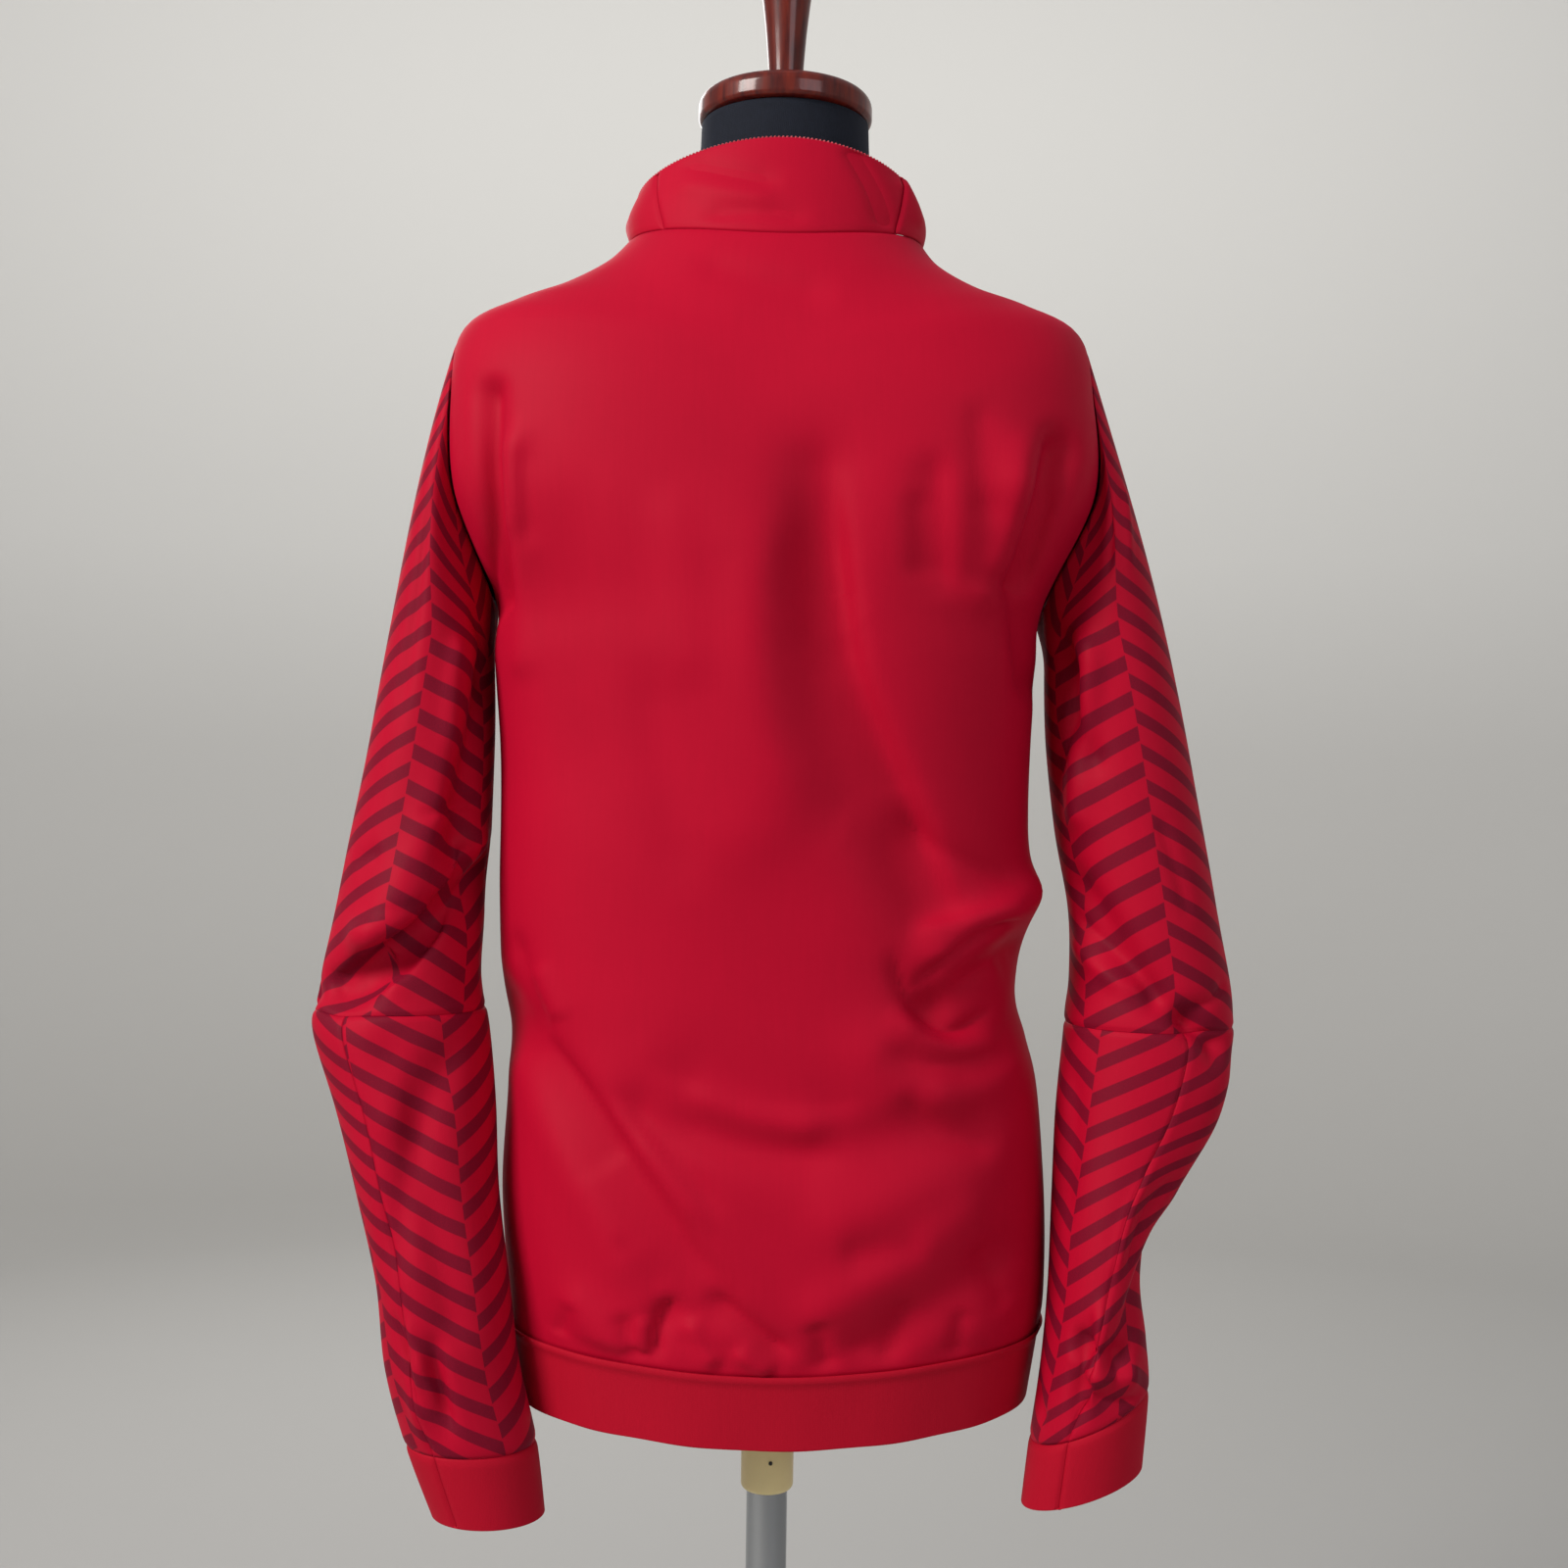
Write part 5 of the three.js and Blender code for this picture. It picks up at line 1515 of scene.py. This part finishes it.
def make_trunk():
    index = np.linspace(0, len(FORM_ROWS) - 1, 121)
    angle = np.linspace(0, 2 * np.pi, 97)
    ring = dict(zip(FORM, row_at(FORM_ROWS, index[:, None])))
    points = ring_point(ring, np.broadcast_to(angle, (len(index), len(angle))))
    piece = grid_object("trunk", points, jersey, thickness=0)
    bm = bmesh.new()
    bm.from_mesh(piece.data)
    bmesh.ops.remove_doubles(bm, verts=bm.verts, dist=1e-6)
    bmesh.ops.holes_fill(bm, edges=bm.edges, sides=0)
    bmesh.ops.recalc_face_normals(bm, faces=bm.faces)
    bm.to_mesh(piece.data)
    bm.free()
    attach(piece, "root")
    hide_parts("form_trunk")
    print("trunk", len(piece.data.polygons), "faces")


NAVY, CREAM = "#141823", "#F6E3A6"


def make_jersey():
    """Navy cotton jersey, matt, with a fine rib and some lint."""
    material, tree, principled = new_material(
        "cotton_jersey_navy", NAVY, 0.85, sheen_weight=0.25, specular_ior_level=0.25)
    principled.inputs["Sheen Tint"].default_value = linear("#6A7488")
    cut = metres(tree, "cut")
    lint = mottle(tree, cut, 0.004, 0.9, 1.15)
    tree.links.new(shaded(tree, linear(NAVY), lint), principled.inputs["Base Color"])
    bump(tree, principled, wales(tree, cut, 0.0012), 0.0001)
    return material


jersey = make_jersey()
make_trunk()

# %% [markdown]
# Turned pieces
#
# Cap, finial, socket, pole and base are round, so each is a profile spun round the axis. The
# corners of a profile are cut by a short curve first, as a lathe tool or a mould leaves them.

# %% Profiles
CAP_FOOT, CAP_HEIGHT = 1502.3, 18
CAP_PROFILE = [(49, 0), (51.4, 0.6), (53, 2.6), (53, 10.6), (52, 13.4), (50, 15.5), (44, 18)]
FINIAL_PROFILE = [(10.3, 0), (10.3, 8), (11.1, 22), (12.6, 40), (14.8, 59), (18, 77), (19, 86),
                  (16.8, 95), (10, 101), (0.6, 103)]
SOCKET_PROFILE = [(14.5, 670), (16, 672), (16, 799.7)]
POLE_PROFILE = [(12.5, 26.3), (12.5, 669.7)]
BASE_PROFILE = [(185, 0), (185, 6), (177, 10), (60, 17), (30, 26)]


def eased(profile, cut, steps=5):
    """A profile whose corners are rounded by a quadratic curve."""
    points = [np.array(p, float) for p in profile]
    rounded = [points[0]]
    for before, corner, after in zip(points, points[1:], points[2:]):
        reach = min(cut, 0.45 * np.linalg.norm(before - corner), 0.45 * np.linalg.norm(after - corner))
        start, end = corner + unit(before - corner) * reach, corner + unit(after - corner) * reach
        for t in np.linspace(0, 1, steps):
            rounded.append((1 - t) ** 2 * start + 2 * t * (1 - t) * corner + t * t * end)
    return [*rounded, points[-1]]


# Place and radius of a black disc on the socket, a painted shade for its screw hole.
HOLE_SHADE_PLACE, HOLE_SHADE_RADIUS = (-0.002, 0.016, 0.69), 0.0012


def make_turned(name, profile, foot, material, node, cut=1.0, steps=128):
    closed = [(0, profile[0][1]), *profile, (0, profile[-1][1])]
    bm = bmesh.new()
    points = [bm.verts.new((r * MM, 0, (z + foot) * MM)) for r, z in eased(closed, cut)]
    turn_profile(bm, points, (0, 0, 1), steps)
    hard_piece(name, bm, material, "root", [node])


def make_socket_hole_shade():
    """A small black disc on the socket where its screw hole is: a dark piece that stands in for the shade
    inside the hole.
    """
    bm = bmesh.new()
    turned = Matrix.Rotation(math.pi / 2, 4, "X")
    bmesh.ops.create_cone(bm, cap_ends=True, segments=24, radius1=HOLE_SHADE_RADIUS, radius2=HOLE_SHADE_RADIUS,
                          depth=HOLE_SHADE_RADIUS, matrix=Matrix.Translation(HOLE_SHADE_PLACE) @ turned)
    soften(bm, list(bm.edges), 0.2 * MM, 2)
    hard_piece("socket_hole_shade", bm, powder_coat, "root", [])


# %% [markdown]
# Finishes of the stand
#
# Varnish is a clear coat over the wood, so its shader has a base and a coat. Chrome is a mirror
# with hardly any roughness, and the plastic and the powder coat are plain.

# %% Materials of the stand
def make_varnish():
    """Mahogany under a thick gloss varnish: red-brown with darker streaks along the grain."""
    material, tree, principled = new_material(
        "varnished_mahogany", "#5A140C", 0.45, coat_weight=0.5, coat_roughness=0.13, coat_ior=1.5,
        specular_ior_level=0.2)
    place = metres(tree, "object")
    stretched = add_node(tree, "Mapping", {"Vector": place, "Scale": (1, 1, 0.12)}).outputs[0]
    grain = mottle(tree, stretched, 0.004, 0.0, 1.0, detail=6)
    streaks = blended(tree, grain, linear("#42090A"), linear("#74200F"))
    tree.links.new(streaks, principled.inputs["Base Color"])
    bump(tree, principled, mottle(tree, stretched, 0.012, 0.0, 1.0), 0.00015)
    return material


def make_plain_finishes():
    """Aged cream plastic, bright chrome plate, and black powder coat with its orange peel."""
    cream, tree, principled = new_material("cream_plastic", CREAM, 0.38, ior=1.46)
    aged = mottle(tree, metres(tree, "object"), 0.03, 0.95, 1.05)
    tree.links.new(shaded(tree, linear(CREAM), aged), principled.inputs["Base Color"])
    chrome, _, _ = new_material("chrome_plate", "#AEB1B4", 0.06, metallic=1.0)
    coat, tree, principled = new_material("powder_coat_black", "#17181A", 0.5)
    bump(tree, principled, mottle(tree, metres(tree, "object"), 0.0016, 0.0, 1.0), 0.00008)
    return cream, chrome, coat


varnish = make_varnish()
cream_plastic, chrome_plate, powder_coat = make_plain_finishes()
make_turned("cap", CAP_PROFILE, CAP_FOOT, varnish, "neck_cap", cut=1.2)
make_turned("finial_turned", FINIAL_PROFILE, CAP_FOOT + CAP_HEIGHT + SEAM_GAP, varnish, "finial",
            cut=6)
make_turned("socket", SOCKET_PROFILE, 0, cream_plastic, "pole_socket")
make_socket_hole_shade()
make_turned("pole_tube", POLE_PROFILE, 0, chrome_plate, "pole", cut=0.4)
make_turned("base_plate", BASE_PROFILE, 0, powder_coat, "stand_base", cut=3)

# %% [markdown]
# Light and floor
#
# The photograph has soft daylight from a wide window, a little from the left. One strong area
# light, two weak ones that fill its shade and an even sky give that, and a fourth light makes the
# wall brighter above. The floor turns up into a round pale wall, so that no view shows an edge.
# Its grey is a little darker low down, a painted shade for the dimmer light near the floor.

# %% Studio
# The floor's grey blends into the wall's grey up to a set height: painted shade, darker near the floor.
WALL_GREY, FLOOR_AND_LOW_SHADE_GREY = "#CBCBCA", "#B0AFAD"
COVE_RADIUS, COVE_BEND, COVE_HEIGHT = 4.6, 1.2, 5.0
SHADE_FADE_HEIGHT = 1.8  # the height at which the wall has its own grey


def make_cove():
    """The floor and the round wall, as one profile turned round the axis."""
    bm = bmesh.new()
    corner = [(COVE_RADIUS - COVE_BEND * (1 - math.sin(a)), COVE_BEND * (1 - math.cos(a)))
              for a in np.linspace(0, math.pi / 2, 13)]
    profile = [(0, 0), (1.5, 0), *corner, (COVE_RADIUS, COVE_HEIGHT)]
    points = [bm.verts.new((r, 0, z)) for r, z in profile]
    turn_profile(bm, points, (0, 0, 1), 96)
    bmesh.ops.remove_doubles(bm, verts=bm.verts, dist=1e-5)
    bmesh.ops.recalc_face_normals(bm, faces=bm.faces)
    mesh = bpy.data.meshes.new("studio_floor")
    bm.to_mesh(mesh)
    bm.free()
    mesh.polygons.foreach_set("use_smooth", np.full(len(mesh.polygons), True))
    cove = add_object("studio_floor", mesh)
    # The plaster's colour runs from the darker floor grey up to the wall grey: painted shade low on the
    # wall.
    material, tree, principled = new_material("plaster_with_painted_shade", WALL_GREY, 0.8)
    height = add_node(tree, "SeparateXYZ", {"Vector": metres(tree, "object")}).outputs["Z"]
    up = add_node(tree, "MapRange", {"Value": height, "From Min": 0.0, "From Max": SHADE_FADE_HEIGHT})
    shaded_wall = blended(tree, up.outputs["Result"], linear(FLOOR_AND_LOW_SHADE_GREY), linear(WALL_GREY))
    tree.links.new(shaded_wall, principled.inputs["Base Color"])
    mesh.materials.append(material)


def area_light(name, place, size, power, colour, target=(0, 0, 1.15)):
    data = bpy.data.lights.new(name, "AREA")
    data.shape, data.size, data.size_y = "RECTANGLE", *size
    data.energy = power
    data.color = linear(colour)[:3]
    light = add_object(name, data)
    light.location = place
    light.rotation_euler = (Vector(target) - Vector(place)).to_track_quat("-Z", "Y").to_euler()


def make_sky(colour, strength):
    world = bpy.data.worlds.new("soft_sky")
    world.use_nodes = True
    background = world.node_tree.nodes["Background"]
    background.inputs["Color"].default_value = linear(colour)
    background.inputs["Strength"].default_value = strength
    bpy.context.scene.world = world


make_cove()
make_sky("#E9EAEC", 0.42)
area_light("window", (2.4, 1.9, 2.95), (1.3, 1.2), 112, "#FFFBF6")
area_light("fill_right", (-1.7, 2.7, 2.3), (1.6, 1.4), 19, "#F4F6FF")
area_light("fill_front", (0.9, -2.6, 2.3), (1.6, 1.4), 26, "#FFFFFF")
area_light("wall", (0.1, -1.9, 3.6), (3.0, 0.8), 60, "#FFFCF6", target=(0.1, -4.6, 2.6))
bpy.context.scene.view_settings.view_transform = "Standard"
